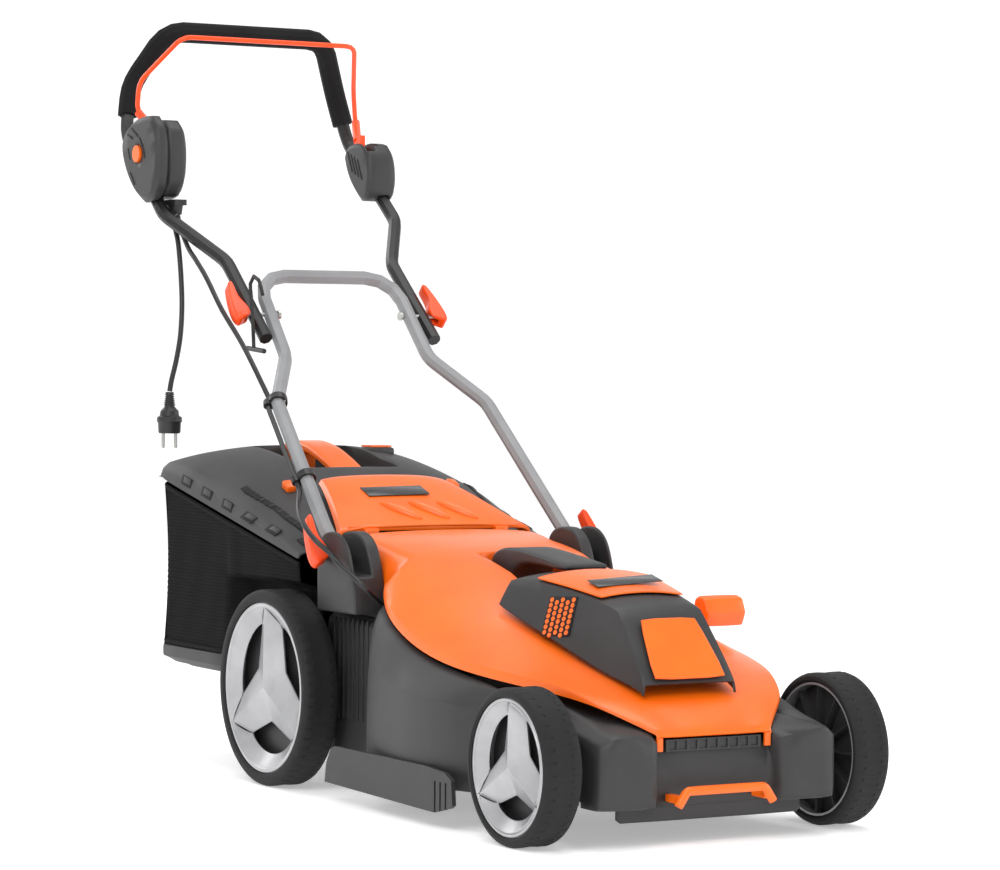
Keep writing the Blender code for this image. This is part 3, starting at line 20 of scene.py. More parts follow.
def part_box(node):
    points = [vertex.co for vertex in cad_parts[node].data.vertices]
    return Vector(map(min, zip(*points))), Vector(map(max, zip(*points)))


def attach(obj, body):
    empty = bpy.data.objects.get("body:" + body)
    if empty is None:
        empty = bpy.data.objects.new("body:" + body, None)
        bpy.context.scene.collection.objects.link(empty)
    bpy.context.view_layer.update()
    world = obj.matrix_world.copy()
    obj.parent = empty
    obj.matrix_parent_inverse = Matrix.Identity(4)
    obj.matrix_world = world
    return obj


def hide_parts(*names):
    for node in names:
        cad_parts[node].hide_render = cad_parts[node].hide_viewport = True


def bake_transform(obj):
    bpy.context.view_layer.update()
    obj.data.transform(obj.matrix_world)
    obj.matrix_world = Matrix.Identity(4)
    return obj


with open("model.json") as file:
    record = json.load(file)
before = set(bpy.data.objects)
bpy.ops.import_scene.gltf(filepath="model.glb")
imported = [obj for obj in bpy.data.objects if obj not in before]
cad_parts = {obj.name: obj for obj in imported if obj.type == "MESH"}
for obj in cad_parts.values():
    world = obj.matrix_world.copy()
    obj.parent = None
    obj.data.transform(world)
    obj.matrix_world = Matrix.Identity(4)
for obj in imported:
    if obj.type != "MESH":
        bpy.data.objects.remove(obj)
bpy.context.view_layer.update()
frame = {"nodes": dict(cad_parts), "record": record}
LOG = logging.getLogger("mower")
MM = 0.001
Point = Sequence[float]


# ---- finishes ----------------------------------------------------------------------------------------------


def linear(colour: str) -> tuple[float, float, float, float]:
    """Turns an sRGB hex colour into a linear one.

    Args:
        colour: Six hex digits after a hash sign.

    Returns:
        Red, green, blue and alpha for a shader.
    """
    channels = []
    for start in (1, 3, 5):
        value = int(colour[start : start + 2], 16) / 255
        channels.append(value / 12.92 if value <= 0.04045 else ((value + 0.055) / 1.055) ** 2.4)
    return channels[0], channels[1], channels[2], 1.0


def add_node(
    tree: bpy.types.NodeTree,
    kind: str,
    settings: dict | None = None,
    links: dict | None = None,
) -> bpy.types.Node:
    """Adds one shader node with its settings and links.

    Args:
        tree: The material's node tree.
        kind: The node's type name.
        settings: Property names, or socket names and numbers, with their values.
        links: Socket names or numbers with the output socket that feeds each.

    Returns:
        The new node.
    """
    node = tree.nodes.new(kind)
    for name, value in (settings or {}).items():
        if isinstance(name, int) or name in node.inputs:
            node.inputs[name].default_value = value
        else:
            setattr(node, name, value)
    for name, source in (links or {}).items():
        tree.links.new(source, node.inputs[name])
    return node


@dataclass(frozen=True)
class Finish:
    """A surface finish, made once as a material and shared by the pieces that have it.

    The base class is a moulded or coated surface: a broad drift of tone, a fine grain that breaks up the
    gloss, and a shallow bump of the same grain.
    """

    name: str
    colour: str
    worn: str
    roughness: float
    slot: str
    ior: float = 1.46
    metallic: float = 0.0
    grain_mm: float = 0.9
    bump: float = 0.10
    depth_mm: float = 0.08
    drift_mm: float = 60.0
    coat: float = 0.0
    sheen: float = 0.0

    def material(self) -> bpy.types.Material:
        """Returns the finish's material, making it the first time."""
        made = bpy.data.materials.get(self.name)
        if made is None:
            made = bpy.data.materials.new(self.name)
            made.use_nodes = True
            made.diffuse_color = linear(self.colour)
            self.build(made.node_tree)
        return made

    def build(self, tree: bpy.types.NodeTree) -> None:
        """Fills the node tree.

        Args:
            tree: The material's empty tree.
        """
        tree.nodes.clear()
        place = add_node(tree, "ShaderNodeTexCoord").outputs["Object"]
        shader = add_node(
            tree,
            "ShaderNodeBsdfPrincipled",
            {
                "IOR": self.ior,
                "Metallic": self.metallic,
                "Coat Weight": self.coat,
                "Coat Roughness": 0.12,
                "Sheen Weight": self.sheen,
                "Sheen Roughness": 0.6,
            },
        )
        if self.metallic > 0.5:
            shader.inputs["IOR"].default_value = 1.5
        drift = add_node(
            tree,
            "ShaderNodeTexNoise",
            {"Scale": 1 / (self.drift_mm * MM), "Detail": 4.0, "Roughness": 0.6},
            {"Vector": place},
        )
        tone = add_node(
            tree,
            "ShaderNodeValToRGB",
            links={"Fac": drift.outputs["Fac"]},
        )
        tone.color_ramp.elements[0].position = 0.30
        tone.color_ramp.elements[0].color = linear(self.worn)
        tone.color_ramp.elements[1].position = 0.62
        tone.color_ramp.elements[1].color = linear(self.colour)
        height = self.relief(tree, place)
        gloss = add_node(
            tree,
            "ShaderNodeMapRange",
            {"To Min": self.roughness - 0.06, "To Max": self.roughness + 0.08},
            {"Value": height},
        )
        bump = add_node(
            tree,
            "ShaderNodeBump",
            {"Strength": self.bump, "Distance": self.depth_mm * MM},
            {"Height": height},
        )
        tree.links.new(self.tint(tree, tone.outputs["Color"], height), shader.inputs["Base Color"])
        tree.links.new(gloss.outputs["Result"], shader.inputs["Roughness"])
        tree.links.new(bump.outputs["Normal"], shader.inputs["Normal"])
        add_node(tree, "ShaderNodeOutputMaterial", links={"Surface": shader.outputs["BSDF"]})

    def relief(self, tree: bpy.types.NodeTree, place: bpy.types.NodeSocket) -> bpy.types.NodeSocket:
        """Returns the height of the surface's fine pattern, from 0 to 1.

        Args:
            tree: The material's tree.
            place: The coordinates to draw the pattern in.
        """
        grain = add_node(
            tree,
            "ShaderNodeTexNoise",
            {"Scale": 1 / (self.grain_mm * MM), "Detail": 3.0, "Roughness": 0.55},
            {"Vector": place},
        )
        return grain.outputs["Fac"]

    def tint(
        self, tree: bpy.types.NodeTree, tone: bpy.types.NodeSocket, height: bpy.types.NodeSocket
    ) -> bpy.types.NodeSocket:
        """Returns the base colour, which a pattern may darken in its hollows as painted shade.

        Args:
            tree: The material's tree.
            tone: The drifting base colour.
            height: The pattern's height.
        """
        return tone


@dataclass(frozen=True)
class Brushed(Finish):
    """Metal drawn or ground along one direction: fine streaks that stretch each highlight."""

    stretch: float = 14.0

    def relief(self, tree: bpy.types.NodeTree, place: bpy.types.NodeSocket) -> bpy.types.NodeSocket:
        """Returns streaks that run along X."""
        turned = add_node(
            tree,
            "ShaderNodeMapping",
            {"Scale": (1 / self.stretch, 1.0, 1.0)},
            {"Vector": place},
        )
        streak = add_node(
            tree,
            "ShaderNodeTexNoise",
            {"Scale": 1 / (self.grain_mm * MM), "Detail": 4.0, "Roughness": 0.7},
            {"Vector": turned.outputs["Vector"]},
        )
        return streak.outputs["Fac"]


@dataclass(frozen=True)
class CellFoam(Finish):
    """Closed-cell foam: a crowd of tiny round pits that swallow the light."""

    def relief(self, tree: bpy.types.NodeTree, place: bpy.types.NodeSocket) -> bpy.types.NodeSocket:
        """Returns round cells with raised rims."""
        cells = add_node(
            tree,
            "ShaderNodeTexVoronoi",
            {"Scale": 1 / (self.grain_mm * MM)},
            {"Vector": place},
        )
        rise = add_node(
            tree,
            "ShaderNodeMath",
            {"operation": "SMOOTH_MIN", 1: 0.6, 2: 0.2},
            {0: cells.outputs["Distance"]},
        )
        return rise.outputs["Value"]


@dataclass(frozen=True)
class RibbedMesh(Finish):
    """Knitted polyester mesh: level ribs with a fine open weave between them."""

    rib_mm: float = 4.5
    thread_mm: float = 1.3

    def relief(self, tree: bpy.types.NodeTree, place: bpy.types.NodeSocket) -> bpy.types.NodeSocket:
        """Returns level ribs crossed by upright threads."""
        ribs = add_node(
            tree,
            "ShaderNodeTexWave",
            {"bands_direction": "Z", "Scale": 0.314 / (self.rib_mm * MM), "Distortion": 0.15},
            {"Vector": place},
        )
        threads = add_node(
            tree,
            "ShaderNodeTexWave",
            {"bands_direction": "DIAGONAL", "Scale": 0.314 / (self.thread_mm * MM)},
            {"Vector": place},
        )
        both = add_node(
            tree,
            "ShaderNodeMath",
            {"operation": "MULTIPLY_ADD", 1: 0.30},
            {0: threads.outputs["Fac"], 2: ribs.outputs["Fac"]},
        )
        return add_node(
            tree, "ShaderNodeMath", {"operation": "MULTIPLY", 1: 0.77}, {0: both.outputs["Value"]}
        ).outputs["Value"]

    def tint(
        self, tree: bpy.types.NodeTree, tone: bpy.types.NodeSocket, height: bpy.types.NodeSocket
    ) -> bpy.types.NodeSocket:
        """Darkens the open weave between the ribs with painted shade."""
        # The near-black colour is painted shade in the hollows of the open weave.
        mix = add_node(
            tree,
            "ShaderNodeMix",
            {"data_type": "RGBA", 6: linear("#0B0B0C")},
            {0: height, 7: tone},
        )
        return mix.outputs[2]


# Polypropylene, moulded glossy: a soft wide highlight over a deep warm orange.
ORANGE = Finish("polypropylene_orange", "#FF6E06", "#FA6604", 0.36, "orange_plastic", 1.49, coat=0.15)
# The same plastic with more red, as the levers and the bail are moulded.
RED_ORANGE = Finish("polypropylene_red_orange", "#FF4C06", "#F54404", 0.34, "red_orange_plastic", 1.49)
# Grained polypropylene in anthracite: a fine leather-like grain that dulls the highlight.
ANTHRACITE = Finish(
    "polypropylene_anthracite", "#303031", "#2A2A2B", 0.50, "anthracite_plastic", 1.49, bump=0.22
)
# The grass box lid is a shade lighter and a little duller.
LID_GREY = Finish("polypropylene_lid_grey", "#383839", "#313132", 0.54, "lid_plastic", 1.49, bump=0.22)
# Glass-filled nylon: near black, satin, for clips, glands, grips and the plug.
BLACK_NYLON = Finish("nylon_black", "#191919", "#141415", 0.45, "black_plastic", 1.53, bump=0.16)
# Solid moulded tyre rubber: matt, with a dusty bloom.
TYRE = Finish("moulded_rubber", "#161617", "#121213", 0.72, "tyre_rubber", 1.45, bump=0.30, depth_mm=0.15)
# Soft PVC cord sheath: smoother than the tyres, with a dull sheen.
SHEATH = Finish("pvc_sheath", "#151516", "#111112", 0.42, "tyre_rubber", 1.53, bump=0.08)
# Silver lacquer over moulded ABS: bright, slightly metallic, with fine flake.
SILVER = Finish(
    "silver_lacquer_abs", "#B2B2B4", "#A0A0A2", 0.34, "silver_plastic", metallic=0.45, grain_mm=0.5, coat=0.4
)
# Zinc-plated steel: pale grey with drawn streaks.
ZINC = Brushed("zinc_plated_steel", "#C2C2BF", "#A9A9A6", 0.34, "plated_steel", metallic=1.0, bump=0.12)
# Grey powder coat on tube: faint orange peel and an even satin gloss.
GREY_COAT = Finish(
    "grey_powder_coat", "#8E8F91", "#838486", 0.45, "grey_painted_tube", metallic=0.08, grain_mm=1.6
)
# Black powder coat on tube.
BLACK_COAT = Finish("black_powder_coat", "#1B1B1C", "#161617", 0.40, "black_painted_tube", grain_mm=1.6)
# Closed-cell foam sleeve.
FOAM = CellFoam("closed_cell_foam", "#1A1A1B", "#151516", 0.88, "foam", 1.3, grain_mm=1.1, bump=0.5)
# Ribbed polyester mesh of the grass bag.
MESH = RibbedMesh(
    "ribbed_polyester_mesh", "#0F0F10", "#0B0B0C", 0.85, "mesh_fabric", 1.25, bump=0.8, depth_mm=0.6
)
# Sewn binding tape at the bag's edges.
TAPE = Finish("woven_binding_tape", "#0D0D0E", "#0A0A0B", 0.85, "mesh_fabric", 1.3, grain_mm=0.8, bump=0.5)
# Dark smoked lens over the hood's and flap's label plates.
LENS = Finish("smoked_acrylic", "#3A3A3C", "#353537", 0.22, "anthracite_plastic", 1.49, bump=0.02)
# Shadowed depth inside slots and vents: the same grained plastic seen in its own shade.
SLOT_DARK = Finish("moulding_in_shade", "#101011", "#0C0C0D", 0.75, "black_plastic", 1.49)


# ---- shape tools -------------------------------------------------------------------------------------------


@dataclass(frozen=True)
class FrontAxle:
    """Turns places measured back from the front axle into the frame's own places."""

    y: float

    def at(self, x: float, back: float, z: float) -> Vector:
        """Returns the frame's place of a point given from the axle."""
        return Vector((x, self.y + back, z))

    def along(self, points: Iterable[Point]) -> list[Vector]:
        """Returns the frame's places of several points."""
        return [self.at(*point) for point in points]


def middle_of(node: str) -> Vector:
    """Returns the middle of a node's box."""
    low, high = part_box(node)
    return (low + high) / 2


AXLE = FrontAxle(middle_of("tyre_front_left").y)


def piece(
    name: str,
    mesh: bmesh.types.BMesh,
    finish: Finish,
    body: str | None,
    replaces: Sequence[str] = (),
    sharp: float = 35.0,
) -> bpy.types.Object:
    """Makes a finished piece from a mesh.

    Args:
        name: The piece's name.
        mesh: Its geometry, which is freed.
        finish: Its finish.
        body: The body that it rides on, or None to leave it on no body.
        replaces: The nodes that it stands for.
        sharp: The angle in degrees over which an edge stays crisp.

    Returns:
        The new object.
    """
    bmesh.ops.recalc_face_normals(mesh, faces=mesh.faces)
    data = bpy.data.meshes.new(name)
    mesh.to_mesh(data)
    mesh.free()
    data.shade_smooth()
    data.set_sharp_from_angle(angle=math.radians(sharp))
    data.materials.append(finish.material())
    made = bpy.data.objects.new(name, data)
    bpy.context.scene.collection.objects.link(made)
    if body:
        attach(made, body)
    if replaces:
        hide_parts(*replaces)
    LOG.info("%s: %d faces on %s", name, len(data.polygons), body)
    return made


def modify(made: bpy.types.Object, kind: str, **settings: object) -> bpy.types.Object:
    """Adds a modifier and returns the object."""
    modifier = made.modifiers.new(kind.lower(), kind)
    for name, value in settings.items():
        setattr(modifier, name, value)
    return made


def lathe(mesh: bmesh.types.BMesh, profile: Sequence[tuple[float, float]], place: Matrix, steps: int) -> None:
    """Adds a turned shape about its own Z axis.

    Args:
        mesh: The mesh that it goes into.
        profile: Closed or open run of (radius, height).
        place: Where the axis stands.
        steps: The number of sides.
    """
    rows = []
    for radius, height in profile:
        if radius <= 0:
            rows.append([mesh.verts.new(place @ Vector((0, 0, height)))] * steps)
            continue
        row = []
        for i in range(steps):
            angle = 2 * math.pi * i / steps
            turned = Vector((radius * math.cos(angle), radius * math.sin(angle), height))
            row.append(mesh.verts.new(place @ turned))
        rows.append(row)
    for low, high in zip(rows, rows[1:]):
        for i in range(steps):
            j = (i + 1) % steps
            corners = [low[i], low[j], high[j], high[i]]
            mesh.faces.new(list(dict.fromkeys(corners)))


def block(mesh: bmesh.types.BMesh, place: Matrix, size: Point, ease: float = 0.0) -> None:
    """Adds a box with eased edges.

    Args:
        mesh: The mesh that it goes into.
        place: The matrix of the box's middle.
        size: Its three sides.
        ease: The width of the eased edges.
    """
    scale = Matrix.Diagonal((*size, 1.0))
    made = bmesh.ops.create_cube(mesh, size=1.0, matrix=place @ scale)
    if ease:
        edges = {edge for vert in made["verts"] for edge in vert.link_edges}
        bmesh.ops.bevel(mesh, geom=list(edges), offset=ease, segments=2, affect="EDGES", profile=0.5)


def facing(place: Vector, out: Vector, along: Vector) -> Matrix:
    """Returns a matrix whose Z looks out and whose X lies near a given direction.

    Args:
        place: The matrix's place.
        out: The direction of Z.
        along: The direction that X keeps to.
    """
    z = out.normalized()
    y = z.cross(along).normalized()
    x = y.cross(z)
    turn = Matrix((x, y, z)).transposed().to_4x4()
    return Matrix.Translation(place) @ turn


def surface_of(node: str) -> BVHTree:
    """Returns a tree of a node's faces, for laying details on it."""
    data = frame["nodes"][node].data
    return BVHTree.FromPolygons([v.co for v in data.vertices], [list(p.vertices) for p in data.polygons])


def lay_on(tree: BVHTree, start: Vector, direction: Vector) -> tuple[Vector, Vector]:
    """Finds where a ray meets a node.

    Args:
        tree: The node's faces.
        start: A point outside the node.
        direction: The way to look.

    Returns:
        The place and the outward normal there.
    """
    place, normal, _, _ = tree.ray_cast(start, direction.normalized())
    if place is None:
        return start, -direction.normalized()
    return place, normal if normal.dot(direction) < 0 else -normal


def smooth_path(points: Sequence[Vector], per_span: int) -> list[Vector]:
    """Reads a smooth curve through the given points.

    Args:
        points: The route's points.
        per_span: How many points to read between each two of them.

    Returns:
        Points on the curve.
    """
    ends = [points[0] * 2 - points[1], *points, points[-1] * 2 - points[-2]]
    made = []
    for a, b, c, d in zip(ends, ends[1:], ends[2:], ends[3:]):
        for i in range(per_span):
            t = i / per_span
            bend = (b * 2) + (c - a) * t + (a * 2 - b * 5 + c * 4 - d) * t * t
            made.append((bend + (b * 3 - a - c * 3 + d) * t**3) / 2)
    return made + [points[-1]]


def pipe(
    mesh: bmesh.types.BMesh,
    path: Sequence[Vector],
    radius: Callable[[float], float],
    sides: int = 16,
) -> None:
    """Adds a round tube along a path, without twist, with closed ends.

    Args:
        mesh: The mesh that it goes into.
        path: The points of its middle line.
        radius: The radius for a share of the way, from 0 to 1.
        sides: The number of sides.
    """
    rows = []
    across = Vector((0, 0, 1)).cross(path[1] - path[0])
    if across.length < 1e-6:
        across = Vector((1, 0, 0))
    for i, point in enumerate(path):
        ahead = (path[min(i + 1, len(path) - 1)] - path[max(i - 1, 0)]).normalized()
        across = (across - ahead * across.dot(ahead)).normalized()
        side = ahead.cross(across)
        size = radius(i / (len(path) - 1))
        rows.append(
            [
                mesh.verts.new(
                    point
                    + across * size * math.cos(2 * math.pi * k / sides)
                    + side * size * math.sin(2 * math.pi * k / sides)
                )
                for k in range(sides)
            ]
        )
    for low, high in zip(rows, rows[1:]):
        for k in range(sides):
            j = (k + 1) % sides
            mesh.faces.new([low[k], low[j], high[j], high[k]])
    mesh.faces.new(rows[0])
    mesh.faces.new(list(reversed(rows[-1])))


@dataclass(frozen=True)
class Moulding:
    """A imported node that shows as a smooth-surfaced copy: its facets melt into curves but its edges stay.

    crease_angle is the angle in degrees over which an edge stays crisp, and crease is how crisp, up to 1.
    """

    node: str
    finish: Finish
    body: str
    crease_angle: float = 32.0
    crease: float = 0.85
    levels: int = 2

    def build(self) -> bpy.types.Object:
        """Builds the copy.

        Returns:
            The copy, which stands for the node.
        """
        mesh = bmesh.new()
        mesh.from_mesh(frame["nodes"][self.node].data)
        bmesh.ops.remove_doubles(mesh, verts=mesh.verts, dist=0.02 * MM)
        bmesh.ops.dissolve_degenerate(mesh, edges=mesh.edges, dist=0.05 * MM)
        bmesh.ops.join_triangles(
            mesh,
            faces=mesh.faces,
            angle_face_threshold=math.radians(20),
            angle_shape_threshold=math.radians(120),
        )
        layer = mesh.edges.layers.float.new("crease_edge")
        for edge in mesh.edges:
            if len(edge.link_faces) != 2 or edge.calc_face_angle(0.0) > math.radians(self.crease_angle):
                edge[layer] = self.crease
        made = piece(f"{self.node}_moulding", mesh, self.finish, self.body, [self.node], 50)
        return modify(made, "SUBSURF", levels=self.levels, render_levels=self.levels)


MOULDINGS = (
    Moulding("motor_cover", ORANGE, "deck"),
    Moulding("deck_housing", ANTHRACITE, "deck"),
    Moulding("motor_hood", ANTHRACITE, "deck", crease_angle=9.0),
    Moulding("hood_front_panel", ORANGE, "deck"),
    Moulding("hood_top_panel", ORANGE, "deck"),
    Moulding("carry_handle", ANTHRACITE, "deck"),
    Moulding("front_trim", ORANGE, "deck"),
    Moulding("handle_bracket_left", ANTHRACITE, "deck"),
    Moulding("handle_bracket_right", ANTHRACITE, "deck"),
    Moulding("height_lever", ORANGE, "height_lever"),
    Moulding("switch_box_outer", ANTHRACITE, "upper_handle", crease=1.0),
    Moulding("switch_box_inner", ANTHRACITE, "upper_handle"),
    Moulding("pivot_box", ANTHRACITE, "upper_handle"),
    Moulding("cam_lever_upper_left", RED_ORANGE, "cam_lever_upper_left"),
    Moulding("cam_lever_upper_right", RED_ORANGE, "cam_lever_upper_right"),
    Moulding("cam_lever_lower_left", RED_ORANGE, "cam_lever_lower_left"),
    Moulding("cam_lever_lower_right", RED_ORANGE, "cam_lever_lower_right"),
    Moulding("rear_flap", ORANGE, "rear_flap", crease_angle=20.0),
    Moulding("box_lid", LID_GREY, "grass_box", crease_angle=17.0),
    Moulding("box_base", LID_GREY, "grass_box"),
    Moulding("box_handle", ORANGE, "grass_box"),
)


# ---- studio ------------------------------------------------------------------------------------------------


@dataclass
class Studio:
    """A pale floor, soft lamps and the camera."""

    eye: Point = (-2.2732, -3.4542, 0.569)
    yaw: float = 30.361
    pitch: float = 1.373
    roll: float = 0.441
    lens: float = 126.5
    sensor: float = 36.0
    glow: float = 0.36

    def camera(self) -> None:
        """Sets up the camera at the height of a person bending down, ahead of the left front wheel."""
        yaw, pitch, roll = (math.radians(a) for a in (self.yaw, self.pitch, self.roll))
        ahead = Vector((math.sin(yaw) * math.cos(pitch), math.cos(yaw) * math.cos(pitch), -math.sin(pitch)))
        right = Vector((math.cos(yaw), -math.sin(yaw), 0))
        up = right.cross(ahead)
        level = right * math.cos(roll) + up * math.sin(roll)
        rise = up * math.cos(roll) - right * math.sin(roll)
        data = bpy.data.cameras.new("camera")
        data.lens = self.lens
        data.sensor_width = self.sensor
        data.clip_end = 60.0
        made = bpy.data.objects.new("camera", data)
        made.matrix_world = Matrix.Translation(AXLE.at(*self.eye)) @ Matrix(
            (level, rise, -ahead)
        ).transposed().to_4x4()
        bpy.context.scene.collection.objects.link(made)
        bpy.context.scene.camera = made

    def lamp(self, name: str, place: Point, size: float, power: float) -> None:
        """Adds a square lamp that looks at the mower.

        Args:
            name: The lamp's name.
            place: Where it hangs.
            size: Its side.
            power: Its power in watts.
        """
        data = bpy.data.lights.new(name, "AREA")
        data.size = size
        data.energy = power
        made = bpy.data.objects.new(name, data)
        made.location = place
        made.rotation_euler = (Vector((0, 0, 0.4)) - Vector(place)).to_track_quat("-Z", "Y").to_euler()
        bpy.context.scene.collection.objects.link(made)

    def build(self) -> None:
        """Makes the floor, the world, the lamps and the camera."""
        self.camera()
        mesh = bmesh.new()
        sweep = ((0.01, 0.0), (16.0, 0.0), (17.6, 0.2), (19.0, 1.0), (19.8, 2.4), (20.0, 9.0))
        count = 72
        turns = [2 * math.pi * i / count for i in range(count)]
        rings = []
        for radius, height in sweep:
            ring = [(radius * math.cos(turn), radius * math.sin(turn), height) for turn in turns]
            rings.append([mesh.verts.new(point) for point in ring])
        mesh.faces.new(rings[0])
        for low, high in zip(rings, rings[1:]):
            for i in range(count):
                after = (i + 1) % count
                mesh.faces.new([low[i], low[after], high[after], high[i]])
        data = bpy.data.meshes.new("floor")
        mesh.to_mesh(data)
        mesh.free()
        data.shade_smooth()
        floor = bpy.data.objects.new("floor", data)
        paper = bpy.data.materials.new("matt_white_paper")
        paper.use_nodes = True
        shader = paper.node_tree.nodes["Principled BSDF"]
        shader.inputs["Base Color"].default_value = linear("#F4F4F4")
        shader.inputs["Roughness"].default_value = 0.9
        shader.inputs["Emission Color"].default_value = linear("#FFFFFF")
        shader.inputs["Emission Strength"].default_value = self.glow
        data.materials.append(paper)
        bpy.context.scene.collection.objects.link(floor)
        world = bpy.data.worlds.new("pale_room")
        world.use_nodes = True
        sky = world.node_tree.nodes["Background"]
        sky.inputs["Color"].default_value = linear("#FFFFFF")
        sky.inputs["Strength"].default_value = 0.55
        bpy.context.scene.world = world
        bpy.context.scene.view_settings.view_transform = "Standard"
        self.lamp("key", (-3.0, -2.6, 3.4), 2.4, 95.0)
        self.lamp("top", (0.5, 0.2, 4.2), 3.0, 75.0)
        self.lamp("side", (3.6, -2.0, 1.8), 2.0, 32.0)
        self.lamp("back", (-1.0, 4.0, 2.6), 2.4, 40.0)


# ---- wheels ------------------------------------------------------------------------------------------------


class Side(Enum):
    """The two sides of the mower."""

    LEFT = -1
    RIGHT = 1


class End(Enum):
    """The two ends of the mower, with how many tread blocks go round the tyre there."""

    FRONT = 40
    REAR = 56


@dataclass
class Wheel:
    """A wheel: a block-tread tyre round a silver rim with a three-armed star."""

    end: End
    side: Side
    lip: float = 0.0215
    dish: float = 0.0120
    arms: int = 3
    fine: int = 8

    def __post_init__(self) -> None:
        """Reads the wheel's place and radii from the frame."""
        self.tag = f"{self.end.name}_{self.side.name}".lower()
        self.middle = middle_of(f"tyre_{self.tag}")
        low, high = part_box(f"tyre_{self.tag}")
        self.radius = (high.z - low.z) / 2
        self.half = (high.x - low.x) / 2
        low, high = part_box(f"rim_{self.tag}")
        self.seat = (high.z - low.z) / 2
        self.body = f"wheel_{self.tag}"
        out = Vector((float(self.side.value), 0, 0))
        self.place = facing(self.middle, out, Vector((0, 0, 1)))

    def height(self, across: float) -> float:
        """Returns the star's height above the dish's floor, for a share of the way across an arm."""
        return self.lip + 0.001 - (self.dish + 0.001) * across**0.9

    def rim(self) -> None:
        """Builds the star and the dished ring as one moulding with three windows."""
        mesh = bmesh.new()
        ring, inner, knee = self.seat * 0.945, self.seat * 0.775, self.seat * 0.40
        edge = math.radians(19)
        corner = math.pi / self.arms
        floor = self.lip - self.dish
        n = self.fine
        verts: dict[tuple, bmesh.types.BMVert] = {}

        def put(x: float, y: float, z: float) -> bmesh.types.BMVert:
            """Returns the vertex at a place, made once."""
            key = (round(x, 6), round(y, 6), round(z, 6))
            if key not in verts:
                verts[key] = mesh.verts.new(self.place @ Vector((x, y, z)))
            return verts[key]

        def polar(angle: float, radius: float, z: float) -> Vector:
            """Returns a point of the half sector from its polar place."""
            return Vector((radius * math.cos(angle), radius * math.sin(angle), z))

        def star(u: float, v: float) -> Vector:
            """Returns the arm's facet: v runs out along the ridge and u across it to the window."""
            ridge = polar(0, ring * v, self.lip + 0.001 * (1 - v))
            outer_end = polar(edge, inner, floor)
            rim_side = polar(corner, knee, floor).lerp(outer_end, v)
            base = ridge.lerp(rim_side, u)
            base.z = ridge.z + (rim_side.z - ridge.z) * u
            return base

        def dished(u: float, v: float) -> Vector:
            """Returns the ring: v runs round it and u from its inner edge out."""
            low = polar(edge + (corner - edge) * v, inner, floor)
            high = polar(corner * v, ring, self.lip)
            angle = (edge + (corner - edge) * v) * (1 - u) + corner * v * u
            radius = inner + (ring - inner) * u
            return polar(angle, radius, low.z + (high.z - low.z) * u)

        for turn in range(self.arms):
            for mirror in (1, -1):
                spin = Matrix.Rotation(2 * corner * turn, 3, "Z")
                for patch in (star, dished):
                    grid = []
                    for i in range(n + 1):
                        row = []
                        for j in range(n + 1):
                            p = patch(i / n, j / n)
                            q = spin @ Vector((p.x, p.y * mirror, p.z))
                            row.append(put(*q))
                        grid.append(row)
                    for i in range(n):
                        for j in range(n):
                            corners = [grid[i][j], grid[i + 1][j], grid[i + 1][j + 1], grid[i][j + 1]]
                            corners = list(dict.fromkeys(corners))
                            if len(corners) > 2:
                                mesh.faces.new(corners)
        bmesh.ops.remove_doubles(mesh, verts=mesh.verts, dist=0.00005)
        made = piece(f"rim_star_{self.tag}", mesh, SILVER, self.body, [f"rim_{self.tag}"], 24)
        modify(made, "SOLIDIFY", thickness=0.0028, offset=-1.0)
        modify(made, "BEVEL", width=0.0007, segments=2, limit_method="ANGLE", angle_limit=math.radians(30))

    def lip_ring(self) -> None:
        """Builds the bright outer lip and the barrel that carries the tyre."""
        mesh = bmesh.new()
        seat = self.seat
        back = -self.half + 0.003
        profile = [
            (seat * 0.935, self.lip - 0.0005),
            (seat * 0.945, self.lip + 0.0010),
            (seat * 0.960, self.lip + 0.0016),
            (seat - 0.0015, self.lip + 0.0013),
            (seat - 0.0003, self.lip),
            (seat - 0.0003, back),
            (seat - 0.0030, back),
            (seat - 0.0030, self.lip - 0.006),
            (seat * 0.935, self.lip - 0.0005),
        ]
        lathe(mesh, profile, self.place, 96)
        bmesh.ops.remove_doubles(mesh, verts=mesh.verts, dist=0.00005)
        piece(f"rim_lip_{self.tag}", mesh, SILVER, self.body)

    def back_plate(self) -> None:
        """Builds the dark web behind the windows, with its hub and ribs."""
        mesh = bmesh.new()
        deep = self.lip - 0.026
        lathe(
            mesh,
            [
                (0.0, deep),
                (self.seat - 0.0036, deep),
                (self.seat - 0.0036, deep - 0.003),
                (0.020, deep - 0.003),
                (0.018, -self.half + 0.004),
                (0.009, -self.half + 0.004),
                (0.009, deep - 0.010),
                (0.0, deep - 0.010),
            ],
            self.place,
            64,
        )
        ribs = 12
        for i in range(ribs):
            spin = Matrix.Rotation(2 * math.pi * i / ribs, 4, "Z")
            reach = self.seat - 0.024
            place = self.place @ spin @ Matrix.Translation((0.019 + reach / 2, 0, deep - 0.008))
            block(mesh, place, (reach, 0.0022, 0.012))
        bmesh.ops.remove_doubles(mesh, verts=mesh.verts, dist=0.00005)
        piece(f"rim_web_{self.tag}", mesh, ANTHRACITE, self.body)

